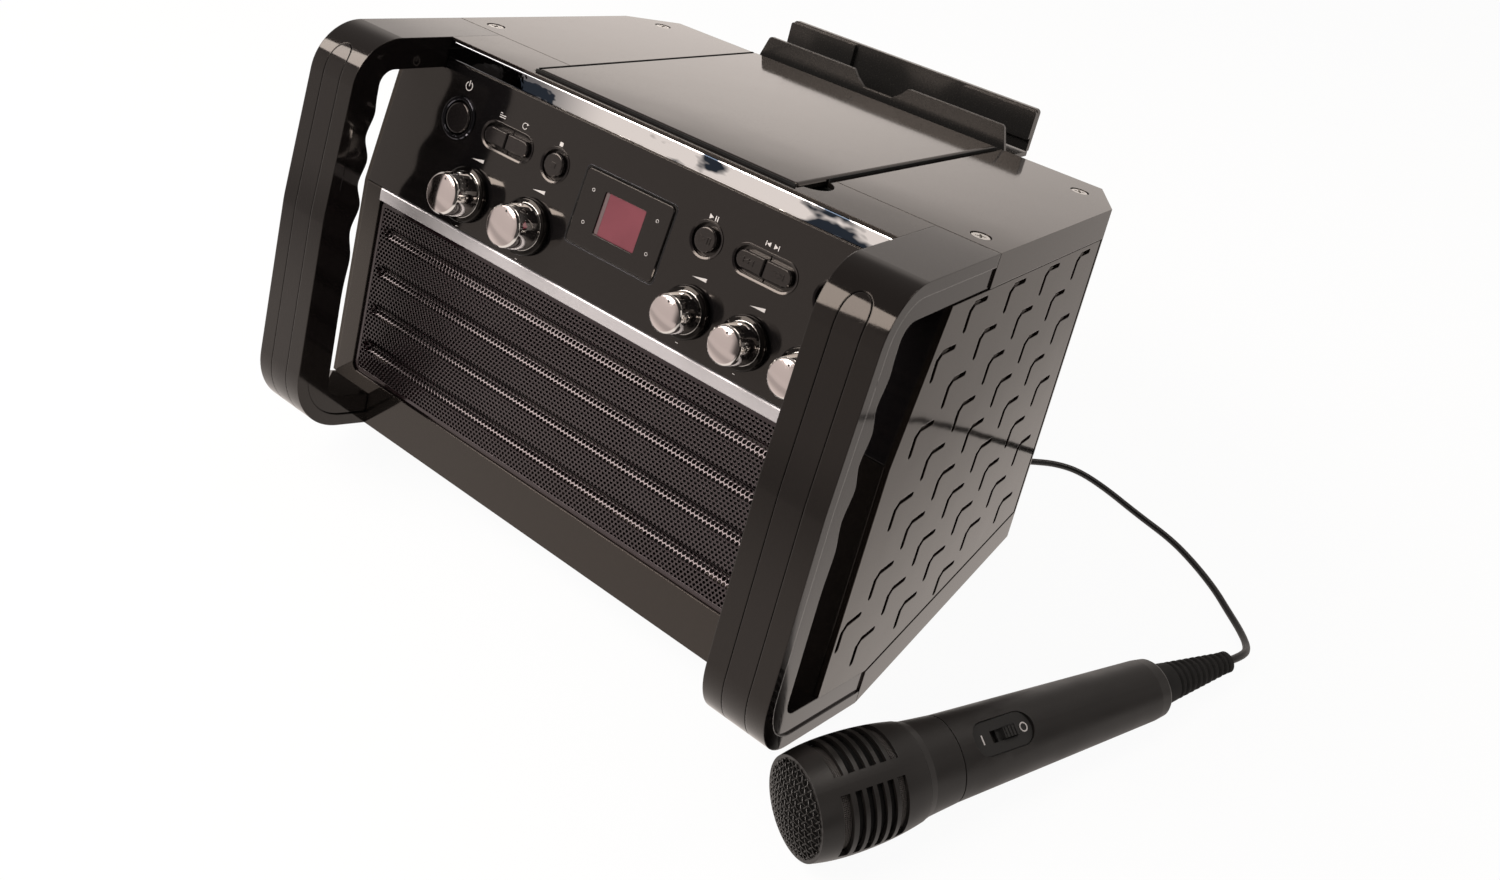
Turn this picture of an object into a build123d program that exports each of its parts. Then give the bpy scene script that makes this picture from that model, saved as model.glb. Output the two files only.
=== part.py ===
from build123d import *
import math
import os

# Karaoke machine with a top-loading disc tray, two loop handles and a
# corded microphone. Millimetres. The cabinet is drawn square to its own
# top, with y = 0 at the front of the handles and z = 0 at its keel, and
# `seat` then tips it back onto the rear half of its base. The microphone
# and its cord are drawn as they lie on the table.

# ---------------------------------------------------- cabinet sizes
width = 345.0            # across the side bands
height = 241.0           # keel to top
keel_y = 101.0           # keel, and the seam between the two cabinets
front_rise = 12.0        # slope of the base in front of the keel, deg
rear_rise = 10.0         # slope of the base behind the keel, deg
rear_top_y = 283.8       # top edge of the rear wall
rear_lean = 5.1          # the rear wall runs back as it goes down, deg
side_rear_y = 248.3      # where the plan corner starts, at the top
corner_x = 18.5          # width of the plan corner
wall = 2.5
side_wall = 5.6          # side band, with the side panel let in
front_wall = 6.0         # baffle and panel seat together
seam_gap = 0.7           # shadow line between the cabinets
seam_deep = 1.2
foot_h = 3.0
foot_d = 15.0
foot_x = 138.0
foot_runs = (16.0, 188.0)      # places along the rear half of the base
foot_edge = 0.6
base_mid = 102.0         # keel to the middle of that half

# --------------------------------------------------- fascia sizes
fascia_y = 51.5          # front of the cabinet
bend_z = 148.9           # where the control panel starts to lean
panel_lean = 10.0        # deg
panel_len = 81.4         # up the slope
panel_t = 2.5
panel_fit = 0.2          # round the control panel
trim_h = 10.3            # bright strip above the control panel
trim_t = 3.0
trim_edge = 1.2
strip_h = 7.2            # satin strip under the control panel
strip_t = 3.2
strip_proud = 0.6
strip_edge = 0.5
grille_z = 37.2          # lower edge of the grille
grille_x = 157.2         # half width
grille_t = 1.2
grille_deep = 2.5        # pocket depth
grille_r = 5.0
grille_fit = 0.3
rib_n = 4                # pressed channels
rib_pitch = 23.5
rib_top_z = 125.4
rib_h = 8.0
rib_deep = 1.8
rib_end = 15.0           # both ends together, short of the grille
rib_slope = 20.0         # deg
spk_x = 78.0             # loudspeakers
spk_z = 88.0
spk_hole = 43.0          # radius

# --------------------------------------------------- handle sizes
arm_w = 33.0             # width of a handle
arm_t = 17.1             # top arm, top to bottom
foot_arm_t = 17.8        # bottom arm, square to its slope
bar_top_y = 4.6          # the bar leans back a little above mid height
bar_top_z = 212.0
bar_top_lean = 3.7       # deg
bar_bend_z = 145.0
bar_bend_r = 90.0
bar_t = 22.4             # depth of the bar
grip_n = 3               # finger hollows
grip_pitch = 25.6
grip_top_z = 187.6
grip_deep = 3.1
grip_crest = 0.3
grip_low = 1.0
grip_back = 1.8
grip_end_z = 95.0
loop_r_top = 27.0
loop_r_low = 40.0
loop_in_r = 8.5
wrap_t = 3.0             # outer skin of a handle
wrap_lip = 6.6           # how far it turns onto the side faces
cheek_in = 0.9           # side faces sit below the lip
inlay_w = 12.2
inlay_t = 1.0
inlay_gap = 0.45
inlay_seat = 0.05
inlay_top_y = 12.5       # round end on the top bend
inlay_low_y = 17.0       # round end underneath
inlay_mid_z = 110.0

# ----------------------------------------------- side panel sizes
side_back = 0.3          # panel edge behind the fascia
side_gap = 0.8           # round the side panels
side_deep = 3.0          # pocket for them
side_t = 2.7
side_rear = 1.2          # pocket edge ahead of the plan corner
chev_rows = 11
chev_dx = 43.8           # pattern pitch, front to back
chev_dz = 19.15          # row pitch
chev_lean = 4.7          # lean of the whole pattern, deg
chev_first_y = 86.6
chev_first_drop = 4.6    # first row below the panel's top
chev_leg = 15.6
chev_arm = 18.2
chev_w = 3.4
chev_arm_w = 2.8
chev_bend = 3.2          # cut across the corner
chev_deep = 1.5
chev_edge = 2.0          # clear of the panel's edge

# ------------------------------------------------- disc tray sizes
door_front_y = 71.5
door_rear_y = 281.0
door_half_front = 82.0
door_half_rear = 88.4
door_gap = 1.2
door_t = 3.6
door_proud = 1.2
door_corner = 2.5
door_edge = 2.0
door_side_slot = 12.0    # how far its opening runs past its rear edge
notch_x, notch_y, notch_r = 81.0, 86.0, 11.0     # finger notch
hinge_y = 276.5
hinge_z = height + door_proud - door_t - 4.6     # just under the door
knuckle_r = 4.4
knuckle_x, knuckle_w = 66.0, 8.0
knuckle_gap = 0.4
lug_w = 5.0
lug_r = 4.0
pin_d = 4.0
swing_x, swing_r = 90.6, 10.4    # room for the hinge to turn
disc_y = 160.0           # spindle
well_r = 63.5            # round a 120 mm disc
well_z = height - 13.0
thumb_r = 16.0           # hollow to lift the disc by
deck_half = 95.0
deck_low = height - 17.5
deck_fit = 0.15
deck_lip_z = height - 9.8
tray_z = height + door_proud - door_t - 1.3      # deck top under the door
hub_d = 14.8
hub_base_r = 16.5
hub_hole_r = 18.6
spindle_r = 1.5
lens_half = 9.0          # slot for the lens
lens_run = (14.0, 62.0)
clamp_r = 15.0
clamp_hole_r = 8.0
motor_r = 12.0
motor_z = (height - 41.0, height - 23.0)
chassis_half = 26.0
chassis_z = (height - 23.0, height - 20.5)
chassis_run = (-14.0, 68.0)
sled_half = 18.5
sled_run = (20.0, 32.0)
sled_z = (height - 30.0, height - 21.5)
sled_room = (13.0, 64.0)
lens_r = 4.2
rail_x, rail_z, rail_r = 15.5, height - 27.5, 1.5

# ------------------------------------------------ tablet cradle sizes
cradle_half = 90.0
cradle_lip_y = 292.5
cradle_lip_z = height + 12.6
cradle_lip_t = 2.8
cradle_floor_z = height - 9.0
cradle_floor_t = 3.0
cradle_back_y = 324.5
cradle_top_z = height + 21.6
cradle_web_x = (-62.0, 0.0, 62.0)
cradle_web_t = 6.0
cradle_web_z = height - 45.0
flange_half = 72.0
flange_t = 3.0
flange_top_z = height - 19.0
rest_t = 4.0
rest_pad_x = 40.0
rest_pad_t = 3.0
rest_r = 2.9             # hinge barrel
rest_lift = 3.2          # hinge above the cradle floor
rest_lug_x = (52.0, 66.4)
rest_lug_w = 5.6
rest_barrel = (58.0, 66.0)
rest_pin_r = 1.25

# ------------------------------------------------------- control sizes
# name, across, skirt, cap at its foot, cap at its face
knob_places = [("mic", -98.0, 30.0, 24.4, 21.8), ("master", -53.5, 30.0, 24.4, 21.8),
               ("echo", 52.5, 26.0, 20.4, 18.2), ("balance", 86.5, 26.0, 20.4, 18.2),
               ("avc", 120.0, 26.0, 20.4, 18.2)]
knob_v = 19.4            # up the panel
knob_h = 19.0
knob_lift = 0.8          # skirt above the panel
knob_edge = 0.9
skirt_h = 3.2
dot_r = 0.9              # pointer
dot_in = 3.2
shaft_d = 6.0
shaft_clear = 1.4
run_fit = 0.06           # radial, shaft in bore
pin_fit = 0.04           # radial, pin in a fixed lug
row_v = 54.6             # row of push buttons
round_d = 12.6
round_hole = 16.0
power_d = 16.8
power_ring_d = 23.6
power_ring_w = 2.35
pill_w = 33.6
pill_h = 13.0
pill_btn_w = 15.2
pill_btn_h = 8.8
pill_split = 0.6
button_x = 49.0
pill_x = 83.0
end_x = 119.5
button_proud = 1.4
button_base = 4.2        # underside of a button's cap, below the panel
button_gap = 0.35        # its flange below the panel
press = 1.5
rim_h = 0.8              # flare round each button's opening
rim_flare = 40.0         # deg
bezel_w, bezel_h = 56.6, 39.2
bezel_v = 42.8
bezel_fit = 0.25
bezel_r = 3.0
lens_w, lens_h = 26.2, 22.2
lens_v = 43.2
board_h = -17.0          # board below the panel
board_t = 1.6
pot_h = 8.0
switch_h = 2.4

# ---------------------------------------------------- microphone sizes
mic_tail = (110.4, 3.4, 14.9)       # where it lies, x from the side band
mic_front = (19.7, -188.0, 25.6)
mic_roll = -27.0         # switch away from straight up, deg
mic_len = 212.0          # tail to rim
mic_tail_r = 14.7
mic_bore_r = 9.0
mic_neck_r = 18.9
mic_head_low_r = 21.2
mic_head_r = 23.9
mic_rim_r = 21.6
mic_rim_in_r = 19.2
mic_rim_t = 3.0
neck_u, head_u = 134.8, 156.0
plate_x, plate_t = 15.9, 1.0      # switch plate
plate_u = (91.5, 126.5)
plate_wide = 15.2
plate_fit = 0.3
slot_u = (100.6, 115.2)
slot_wide = 5.2
slide_len, slide_run = 8.0, 6.0
slide_ribs = 4
head_slots = [(200.0, 4.6), (193.6, 3.4), (188.2, 3.4), (182.8, 3.4), (177.4, 3.4), (171.4, 4.4)]
slot_arc = 72.0          # deg
dome_h, mesh_t = 6.0, 0.8
relief_len = 55.0
relief_rings = 9
relief_pitch = 4.45

# ---------------------------------------------------------- cord sizes
cord_d = 4.0
cord_start = 13.0        # straight out of the relief
# by the microphone x is from the side band, and further on from the middle
cord_near = [(139.0, 79.0, 6.6), (131.5, 93.0, 3.4), (121.0, 105.0, 2.2), (109.1, 117.4, 2.2),
             (92.4, 130.2, 2.2), (74.5, 140.7, 2.2), (50.6, 147.6, 2.2), (24.8, 156.9, 2.2)]
cord_far = [(177.6, 160.4, 2.2), (163.0, 155.6, 2.2), (151.3, 146.0, 2.2), (138.5, 136.6, 2.2),
            (122.5, 130.0, 2.2), (106.0, 127.6, 2.2), (93.0, 128.6, 2.2)]
lead_route = [(116.4, 168.0, 28.2), (110.5, 177.5, 22.8), (100.5, 182.5, 17.8), (88.5, 180.8, 14.6),
              (77.5, 175.0, 13.8)]
lead_out = 12.0          # straight out of the plug
coil_x, coil_y = 88.0, 150.0
coil_mid_r = 22.0
coil_half = 8.5          # half width of the wound section
coil_low, coil_high = 0.2, 16.4
coil_edge = 2.5
plug_len = 38.0
plug_shaft = 30.0
plug_grip_r = 5.6
jack_fit = 0.08

# --------------------------------------------------- rear socket sizes
# across, barrel, bore, flange behind the wall, how far out, how deep
jack_x, jack_z = 118.0, 74.0
jack_pitch = 26.0
jack_bore = 6.5
jack_proud = 1.6
jack_deep = 33.0
dc_x = -118.0
av_x = (-62.0, -77.0, -92.0)
socket_back = 2.0
socket_fit = 0.2
slot_n, slot_pitch, slot_low_z, slot_h = 7, 9.0, 116.0, 3.0    # sound slots
slot_half = 48.0

# --------------------------------------------------------- screw sizes
screw_spots = [(156.5, 114.0), (149.5, 259.5)]
screw_head_r = 4.9
screw_well_r = 5.2
screw_boss_r = 7.2
screw_r = 1.6
screw_hole_r = 1.9
screw_deep = 2.6
screw_long = 8.0
cross_l, cross_w, cross_deep = 5.4, 1.1, 1.1

touch = 0.02             # left between faces that rest on each other
far = 400.0              # past everything, where a cut runs out
hw = width / 2


# -------------------------------------------------------------- helpers
def sin(a):
    return math.sin(math.radians(a))


def cos(a):
    return math.cos(math.radians(a))


def tan(a):
    return math.tan(math.radians(a))


def inset(points, widths):
    """Offset each edge of a counter-clockwise outline inwards."""
    n = len(points)
    if not isinstance(widths, (list, tuple)):
        widths = [widths] * n
    lines = []
    for i, w in enumerate(widths):
        (x0, y0), (x1, y1) = points[i], points[(i + 1) % n]
        run = math.hypot(x1 - x0, y1 - y0)
        ux, uy = (x1 - x0) / run, (y1 - y0) / run
        lines.append((x0 - uy * w, y0 + ux * w, ux, uy))
    out = []
    for i in range(n):
        x0, y0, ux, uy = lines[i - 1]
        x1, y1, vx, vy = lines[i]
        d = ux * vy - uy * vx
        t = ((x1 - x0) * vy - (y1 - y0) * vx) / d
        out.append((x0 + ux * t, y0 + uy * t))
    return out


def inside(y, z, points):
    """True where a point lies in a closed outline."""
    hit = False
    for i in range(len(points)):
        (y0, z0), (y1, z1) = points[i - 1], points[i]
        if (z0 > z) != (z1 > z) and y < (y1 - y0) * (z - z0) / (z1 - z0) + y0:
            hit = not hit
    return hit


def prism_x(points, x0, x1):
    face = make_face(Polyline(*[(x0, y, z) for y, z in points], close=True))
    return extrude(face, amount=x1 - x0, dir=(1, 0, 0))


def plate_z(points, z0, z1):
    face = make_face(Polyline(*[(x, y, z0) for x, y in points], close=True))
    return extrude(face, amount=z1 - z0, dir=(0, 0, 1))


def block(x0, x1, y0, y1, z0, z1):
    return Pos((x0 + x1) / 2, (y0 + y1) / 2, (z0 + z1) / 2) * Box(x1 - x0, y1 - y0, z1 - z0)


def cylinder(r, h):
    return Cylinder(r, h, align=(Align.CENTER, Align.CENTER, Align.MIN))


def rod(x, y, z, r, h, axis="z"):
    turn = {"z": Rot(0, 0, 0), "x": Rot(0, 90, 0), "y": Rot(-90, 0, 0)}[axis]
    return Pos(x, y, z) * turn * cylinder(r, h)


def mirror_x(shape):
    return mirror(shape, about=Plane.YZ)


def span(side, a, b):
    """Two distances from the middle, as a rising pair on that side."""
    return sorted((side * a, side * b))


def front_facet(y):
    return (keel_y - y) * tan(front_rise)


def rear_facet(y):
    return (y - keel_y) * tan(rear_rise)


def rear_line(z):
    return rear_top_y + (height - z) * tan(rear_lean)


def meets_base(top_y, lift):
    """Where a line down the rear wall from the top meets the rear base, raised by lift."""
    run = top_y + (height + keel_y * tan(rear_rise) - lift) * tan(rear_lean)
    return run / (1 + tan(rear_rise) * tan(rear_lean))


control = Plane(origin=(0, fascia_y, bend_z), x_dir=(1, 0, 0),
                z_dir=(0, -cos(panel_lean), sin(panel_lean)))


def on_panel(shape):
    """Place a shape drawn as (across, up the slope, out of the panel)."""
    return control.location * shape


def seat(shape):
    """Tip the cabinet back onto the rear half of its base."""
    return Pos(0, -base_mid, foot_h) * Rot(-rear_rise, 0, 0) * Pos(0, -keel_y, 0) * shape


def disc(r, x, v, h0, h1):
    """Round peg on the control panel."""
    return Pos(x, v, h0) * cylinder(r, h1 - h0)


def pill(w, h, x, v, h0, h1):
    """Stadium peg on the control panel."""
    return Pos(x, v, h0) * extrude(SlotOverall(w, h), amount=h1 - h0)


def slab(w, h, r, v, h0, h1):
    """Round-cornered block on the middle of the control panel."""
    return Pos(0, v, h0) * extrude(RectangleRounded(w, h, r), amount=h1 - h0)


def turned(points):
    """Solid of revolution about z, from (along, radius) pairs."""
    return revolve(make_face(Polyline(*[(r, 0, u) for u, r in points], close=True)), Axis.Z)


def turned_y(points):
    """The same about y."""
    return revolve(make_face(Polyline(*[(r, u, 0) for u, r in points], close=True)), Axis.Y)


parts = {}

# ------------------------------------------------------- cabinet shell
rear_low_y = meets_base(rear_top_y, 0)
trim_y = fascia_y + panel_len * sin(panel_lean)
trim_z = bend_z + panel_len * cos(panel_lean)
outline = [(fascia_y, front_facet(fascia_y)), (keel_y, 0), (rear_low_y, rear_facet(rear_low_y)),
           (rear_top_y, height), (trim_y, height), (trim_y, trim_z), (fascia_y, bend_z)]
widths = [wall, wall, wall, wall, front_wall, front_wall, front_wall]
corner_run = rear_top_y - side_rear_y
plan = [(-hw, -50), (hw, -50), (hw, side_rear_y), (hw - 3 * corner_x, side_rear_y + 3 * corner_run),
        (-hw + 3 * corner_x, side_rear_y + 3 * corner_run), (-hw, side_rear_y)]


def plan_prism(edge):
    """The cabinet's plan with its two cut corners, sheared back down the rear wall."""
    pts = inset(plan, [0, edge, edge, 0, edge, edge]) if edge else plan
    face = make_face(Polyline(*[(x, y, height) for x, y in pts], close=True))
    return extrude(face, amount=(height + 60) / cos(rear_lean), dir=(0, sin(rear_lean), -cos(rear_lean)))


def arm_zone(grow):
    """Room that the two arms of a handle take beside the front cabinet."""
    top = block(hw - arm_w - grow, hw + 1, -1, keel_y + grow, height - arm_t - grow, height + 1)
    t = foot_arm_t / cos(front_rise) + grow
    end = keel_y + grow
    low = prism_x([(-1, -30), (end, -30), (end, front_facet(end) + t), (-1, front_facet(-1) + t)],
                  hw - arm_w - grow, hw + 1)
    return top + low


def door_plan(grow):
    """Plan of the disc door's opening, through both cabinets and out at the rear."""
    slope = (door_half_rear - door_half_front) / (door_rear_y - door_front_y)
    h0 = door_half_front - slope * grow + grow
    h1 = door_half_rear + slope * door_side_slot + grow
    return [(-h0, door_front_y - grow), (h0, door_front_y - grow), (h1, door_rear_y + door_side_slot),
            (-h1, door_rear_y + door_side_slot)]


zone = arm_zone(0)
zone += mirror_x(zone)
zone_in = arm_zone(wall)
zone_in += mirror_x(zone_in)
body = prism_x(outline, -hw, hw) & plan_prism(0)
cavity = prism_x(inset(outline, widths), -hw + side_wall, hw - side_wall) & plan_prism(wall + 0.6)
shell = body - (cavity - zone_in)

# side panel outline, front to back
pan_top = height - arm_t
pan_low = foot_arm_t / cos(front_rise)
band_low = foot_arm_t / cos(rear_rise)
pan_low_y = meets_base(side_rear_y - side_rear, band_low)
pan_rear_y = side_rear_y - side_rear + (height - pan_top) * tan(rear_lean)
side_y = fascia_y + side_back
side_outline = [(side_y, front_facet(side_y) + pan_low), (keel_y, band_low),
                (pan_low_y, rear_facet(pan_low_y) + band_low), (pan_rear_y, pan_top),
                (side_y + (pan_top - bend_z) * tan(panel_lean), pan_top), (side_y, bend_z)]
side_pocket = prism_x(side_outline, hw - side_deep, hw + 1)
side_pocket += prism_x([(side_y - 5, front_facet(side_y) + pan_low),
                        (side_y + 1, front_facet(side_y) + pan_low), (side_y + 1, bend_z),
                        (side_y + 15, pan_top), (side_y - 5, pan_top)], hw - side_deep, hw + 1)
shell = shell - side_pocket - mirror_x(side_pocket)

door_hole = plate_z(door_plan(door_gap), height - 10, height + 5)
notch = rod(notch_x, notch_y, height - 10, notch_r, 15)
swing = rod(-swing_x, hinge_y, hinge_z, swing_r, 2 * swing_x, "x")
swing += block(-swing_x, swing_x, hinge_y, far, hinge_z, height + swing_r)

# ------------------------------------------------------- front cabinet
front = shell & block(-far, far, 0, keel_y, -far, far)
front = front - zone - door_hole - notch
front -= on_panel(block(-hw - 1, hw + 1, 0, panel_len, -panel_t - touch, 5))
front -= block(-hw + arm_w, hw - arm_w, trim_y - 5, trim_y + trim_t, trim_z, trim_z + trim_h)
front -= block(-hw - 1, hw + 1, 0, fascia_y + panel_t + 0.2, bend_z - 0.2, bend_z + 3) & \
    on_panel(block(-hw - 1, hw + 1, -3, 3, -panel_t, 9))
front -= block(-grille_x, grille_x, fascia_y - 5, fascia_y + strip_t, bend_z - strip_h, bend_z)

grille_h = bend_z - strip_h - grille_z
grille_mid = (grille_z + bend_z - strip_h) / 2
front -= extrude(Plane.XZ.offset(5 - fascia_y) * Pos(0, grille_mid) *
                 RectangleRounded(2 * grille_x, grille_h, grille_r), amount=-5 - grille_deep)
front -= block(-grille_x, grille_x, fascia_y - 5, fascia_y + grille_deep, bend_z - strip_h - 8,
               bend_z - strip_h)
for s in (-1, 1):
    front -= rod(s * spk_x, fascia_y - 5, spk_z, spk_hole, 20, "y")
for i in range(rib_n):
    rib = Plane(origin=(0, fascia_y, rib_top_z - rib_pitch * i), x_dir=(1, 0, 0), z_dir=(0, -1, 0))
    front -= extrude(rib * SlotOverall(2 * grille_x - rib_end + 4, rib_h + 2.6),
                     amount=-grille_deep - rib_deep - grille_fit)

behind, skin = -8.0, 0.5 - panel_t       # holes through the wall behind the panel
back_holes = Part()
for _, x, skirt, _, _ in knob_places:
    back_holes += disc(skirt / 2 - 7.0, x, knob_v, behind, skin)
for x in (-button_x, button_x, end_x):
    back_holes += disc(round_hole / 2 + 1.6, x, row_v, behind, skin)
back_holes += disc(power_ring_d / 2 - 0.5, -end_x, row_v, behind, skin)
for x in (-pill_x, pill_x):
    back_holes += pill(pill_w + 3.4, pill_h + 3.4, x, row_v, behind, skin)
back_holes += slab(bezel_w - 6, bezel_h - 6, 1, bezel_v, behind, skin)
front -= on_panel(back_holes)
parts["front_cabinet"] = seat(front)

# -------------------------------------------------------- rear cabinet
rear = shell & block(-far, far, keel_y, far, -far, far)
rear = rear - door_hole - swing
seam = block(-far, far, keel_y - 1, keel_y + seam_gap, -far, far)
rear -= seam - prism_x(inset(outline, seam_deep), -hw + seam_deep, hw - seam_deep)
for x, y in screw_spots:
    for s in (-1, 1):
        rear += rod(s * x, y, height - screw_long - 1, screw_boss_r, screw_long) & body
        rear -= rod(s * x, y, height - screw_deep, screw_well_r, 5)
        rear -= rod(s * x, y, height - screw_long - 0.3, screw_hole_r, screw_long - 2)


def socket_hole(x, r):
    return rod(x, rear_line(jack_z) - 12, jack_z, r + socket_fit, 30, "y")


sockets = [(x, jack_bore / 2 + 2.95, jack_bore / 2, 8.2, jack_proud, jack_deep)
           for x in (jack_x, jack_x - jack_pitch)]
sockets += [(dc_x, 5.4, 3.0, 7.6, 0.8, 14.0)]
sockets += [(x, 4.4, 3.2, 6.2, 4.5, 14.0) for x in av_x]
for x, barrel, _, _, _, _ in sockets:
    rear -= socket_hole(x, barrel)
for i in range(slot_n):
    low = slot_low_z + slot_pitch * i
    rear -= block(-slot_half, slot_half, rear_line(low) - 10, far, low, low + slot_h)
parts["rear_cabinet"] = seat(rear)

# ---------------------------------------------------------- side panels
panel_edge = inset(side_outline, [side_gap] * 4 + [0, 0])
side_panel = prism_x(panel_edge, hw - side_deep, hw - side_deep + side_t)


def bar_groove(y0, z0, y1, z1, w):
    """Round-ended groove between two points of the side panel."""
    turn = math.degrees(math.atan2(z1 - z0, y1 - y0))
    run = math.hypot(y1 - y0, z1 - z0)
    return Pos((y0 + y1) / 2, (z0 + z1) / 2) * SlotCenterToCenter(run, w, rotation=turn)


def hockey(y, z):
    """One bent groove: a leg down, a cut corner, and an arm running back."""
    shape = bar_groove(0, chev_w - chev_leg, 0, -chev_bend, chev_w)
    shape += bar_groove(0, -chev_bend, chev_bend, 0, (chev_w + chev_arm_w) / 2)
    shape += bar_groove(chev_bend, 0, chev_arm - chev_w, 0, chev_arm_w)
    face = Plane(origin=(hw - side_deep + side_t, y, z), x_dir=(0, 1, 0), z_dir=(1, 0, 0)) * shape
    return extrude(face, amount=-chev_deep)


room = inset(side_outline, side_gap + chev_edge)
for row in range(chev_rows):
    z = pan_top - chev_first_drop - chev_dz * row
    shift = (pan_top - z) * tan(chev_lean) - (row % 2) * chev_dx / 2
    for col in range(-2, 6):
        y = chev_first_y + shift + chev_dx * col
        ends = [(y, z + 1), (y, z - chev_leg + chev_w), (y + chev_arm - chev_w, z)]
        if all(inside(a, b, room) for a, b in ends):
            side_panel -= hockey(y, z)
parts["side_panel_right"] = seat(side_panel)
parts["side_panel_left"] = seat(mirror_x(side_panel))

# -------------------------------------------------------------- handles
bar_top = (bar_top_y + (height - bar_top_z) * tan(bar_top_lean), height)
loop_out = [(keel_y, height), bar_top, (bar_top_y, bar_top_z), (0, bar_bend_z), (0, front_facet(0)),
            (keel_y, 0)]


def side_plane(x):
    return Plane(origin=(x, 0, 0), x_dir=(0, 1, 0), z_dir=(1, 0, 0))


def loop_face(x, drop):
    """Outer outline of a handle, `drop` inside its surface, closed at the seam."""
    pts = inset(loop_out, [drop] * 5 + [0]) if drop else loop_out
    radii = [loop_r_top - drop, bar_bend_r, bar_bend_r, loop_r_low - drop]
    return side_plane(x) * make_face([FilletPolyline(*pts, radius=radii), Line(pts[-1], pts[0])])


def grip_face(x):
    """Opening of a handle, with the finger hollows in the bar."""
    y0, r, roof_z = bar_t, loop_in_r, height - arm_t
    floor_z = [front_facet(y) + pan_low for y in (y0, y0 + r)]
    pts = [(y0, roof_z - r), (y0, grip_top_z + grip_pitch * 0.75)]
    for i in range(grip_n):
        z = grip_top_z - grip_pitch * i
        pts += [(y0 + grip_crest, z + grip_pitch / 2), (y0 - grip_deep, z)]
    pts += [(y0 - grip_low, grip_top_z - grip_pitch * (grip_n - 0.5)), (y0 - grip_back, grip_end_z)]
    low_in = (y0 - grip_low, floor_z[0] + r)
    low_mid = (y0 + 0.24 * r, floor_z[0] + 0.17 * r)
    low_out = (y0 + r, floor_z[1])
    top_mid = (y0 + r * (1 - cos(45)), roof_z - r * (1 - cos(45)))
    edges = [Spline(*pts, tangents=[(0, -1), (0, -1)]), Line(pts[-1], low_in),
             ThreePointArc(low_in, low_mid, low_out), Line(low_out, (keel_y, pan_low)),
             Line((keel_y, pan_low), (keel_y, roof_z)), Line((keel_y, roof_z), (y0 + r, roof_z)),
             ThreePointArc((y0 + r, roof_z), top_mid, pts[0])]
    return side_plane(x) * make_face(edges)


def pull(face, run):
    return extrude(face, amount=run, dir=(1, 0, 0))


x0 = hw - arm_w
core = pull(loop_face(x0 + wrap_t, wrap_t), arm_w - 2 * wrap_t)
core += pull(loop_face(x0 + cheek_in, wrap_lip), arm_w - 2 * cheek_in)
core -= pull(grip_face(x0 - 5), arm_w + 10)
wrap = pull(loop_face(x0, 0), arm_w) - pull(loop_face(x0 + wrap_t, wrap_t), arm_w - 2 * wrap_t)
wrap -= pull(loop_face(x0 - 1, wrap_lip), arm_w + 2)
inlay_x = hw - arm_w / 2 + 0.2


def inlay_band(grow, drop):
    """Band let into the front of the skin, round ended at the top and underneath."""
    w = inlay_w / 2 + grow
    band = pull(loop_face(inlay_x - w, 0), 2 * w) - pull(loop_face(inlay_x - w - 1, drop), 2 * w + 2)
    top_y = inlay_top_y + grow - w
    low_y = inlay_low_y + grow - w
    keep = block(inlay_x - w, inlay_x + w, -5, top_y, inlay_mid_z, height + 1)
    keep += rod(inlay_x, top_y, inlay_mid_z, w, height + 1 - inlay_mid_z)
    keep += block(inlay_x - w, inlay_x + w, -5, low_y, 5, inlay_mid_z + 1)
    keep += rod(inlay_x, low_y, 5, w, inlay_mid_z / 2)
    return band & keep


wrap -= inlay_band(inlay_gap, inlay_t)
inlay = inlay_band(0, inlay_t - inlay_seat)
for name, piece in (("handle_wrap", wrap), ("handle_core", core), ("handle_inlay", inlay)):
    parts[name + "_right"] = seat(piece)
    parts[name + "_left"] = seat(mirror_x(piece))

# ------------------------------------------------- strips and the grille
trim = block(-hw + arm_w, hw - arm_w, trim_y, trim_y + trim_t, trim_z, trim_z + trim_h)
trim = fillet(trim.edges().filter_by(Axis.X).group_by(Axis.Y)[0], trim_edge)
parts["trim_strip"] = seat(trim)
strip = block(-grille_x, grille_x, fascia_y - strip_proud, fascia_y + strip_t, bend_z - strip_h, bend_z)
strip = chamfer(strip.edges().filter_by(Axis.X).group_by(Axis.Y)[0], strip_edge)
parts["silver_strip"] = seat(strip)

sheet_y = fascia_y + grille_deep - grille_t


def on_sheet(z):
    return Plane(origin=(0, sheet_y, z), x_dir=(1, 0, 0), z_dir=(0, -1, 0))


rib_zs = [rib_top_z - rib_pitch * i for i in range(rib_n)]
sheet_face = RectangleRounded(2 * (grille_x - grille_fit), grille_h - 2 * grille_fit, grille_r - grille_fit)
sheet = extrude(on_sheet(grille_mid) * sheet_face, amount=-grille_t)
for z in rib_zs:
    sheet += extrude(on_sheet(z) * SlotOverall(2 * grille_x - rib_end + 3, rib_h + 1.6),
                     amount=-grille_t - rib_deep)
for z in rib_zs:
    sheet -= extrude(on_sheet(z) * SlotOverall(2 * grille_x - rib_end, rib_h - 1.4), amount=-rib_deep,
                     taper=rib_slope)
parts["grille"] = seat(sheet)

# -------------------------------------------------------- control panel
panel_x = hw - side_deep - 0.1
panel = block(-panel_x, panel_x, panel_t * tan(panel_lean) + panel_fit, panel_len - panel_fit, -panel_t, 0)


def opening(face, x, v):
    """Hole through the control panel with a flared rim."""
    hole = Pos(x, v, -panel_t - 1) * extrude(face, amount=panel_t + 2)
    return hole + Pos(x, v, -rim_h) * extrude(face, amount=rim_h + 0.1, taper=-rim_flare)


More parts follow.
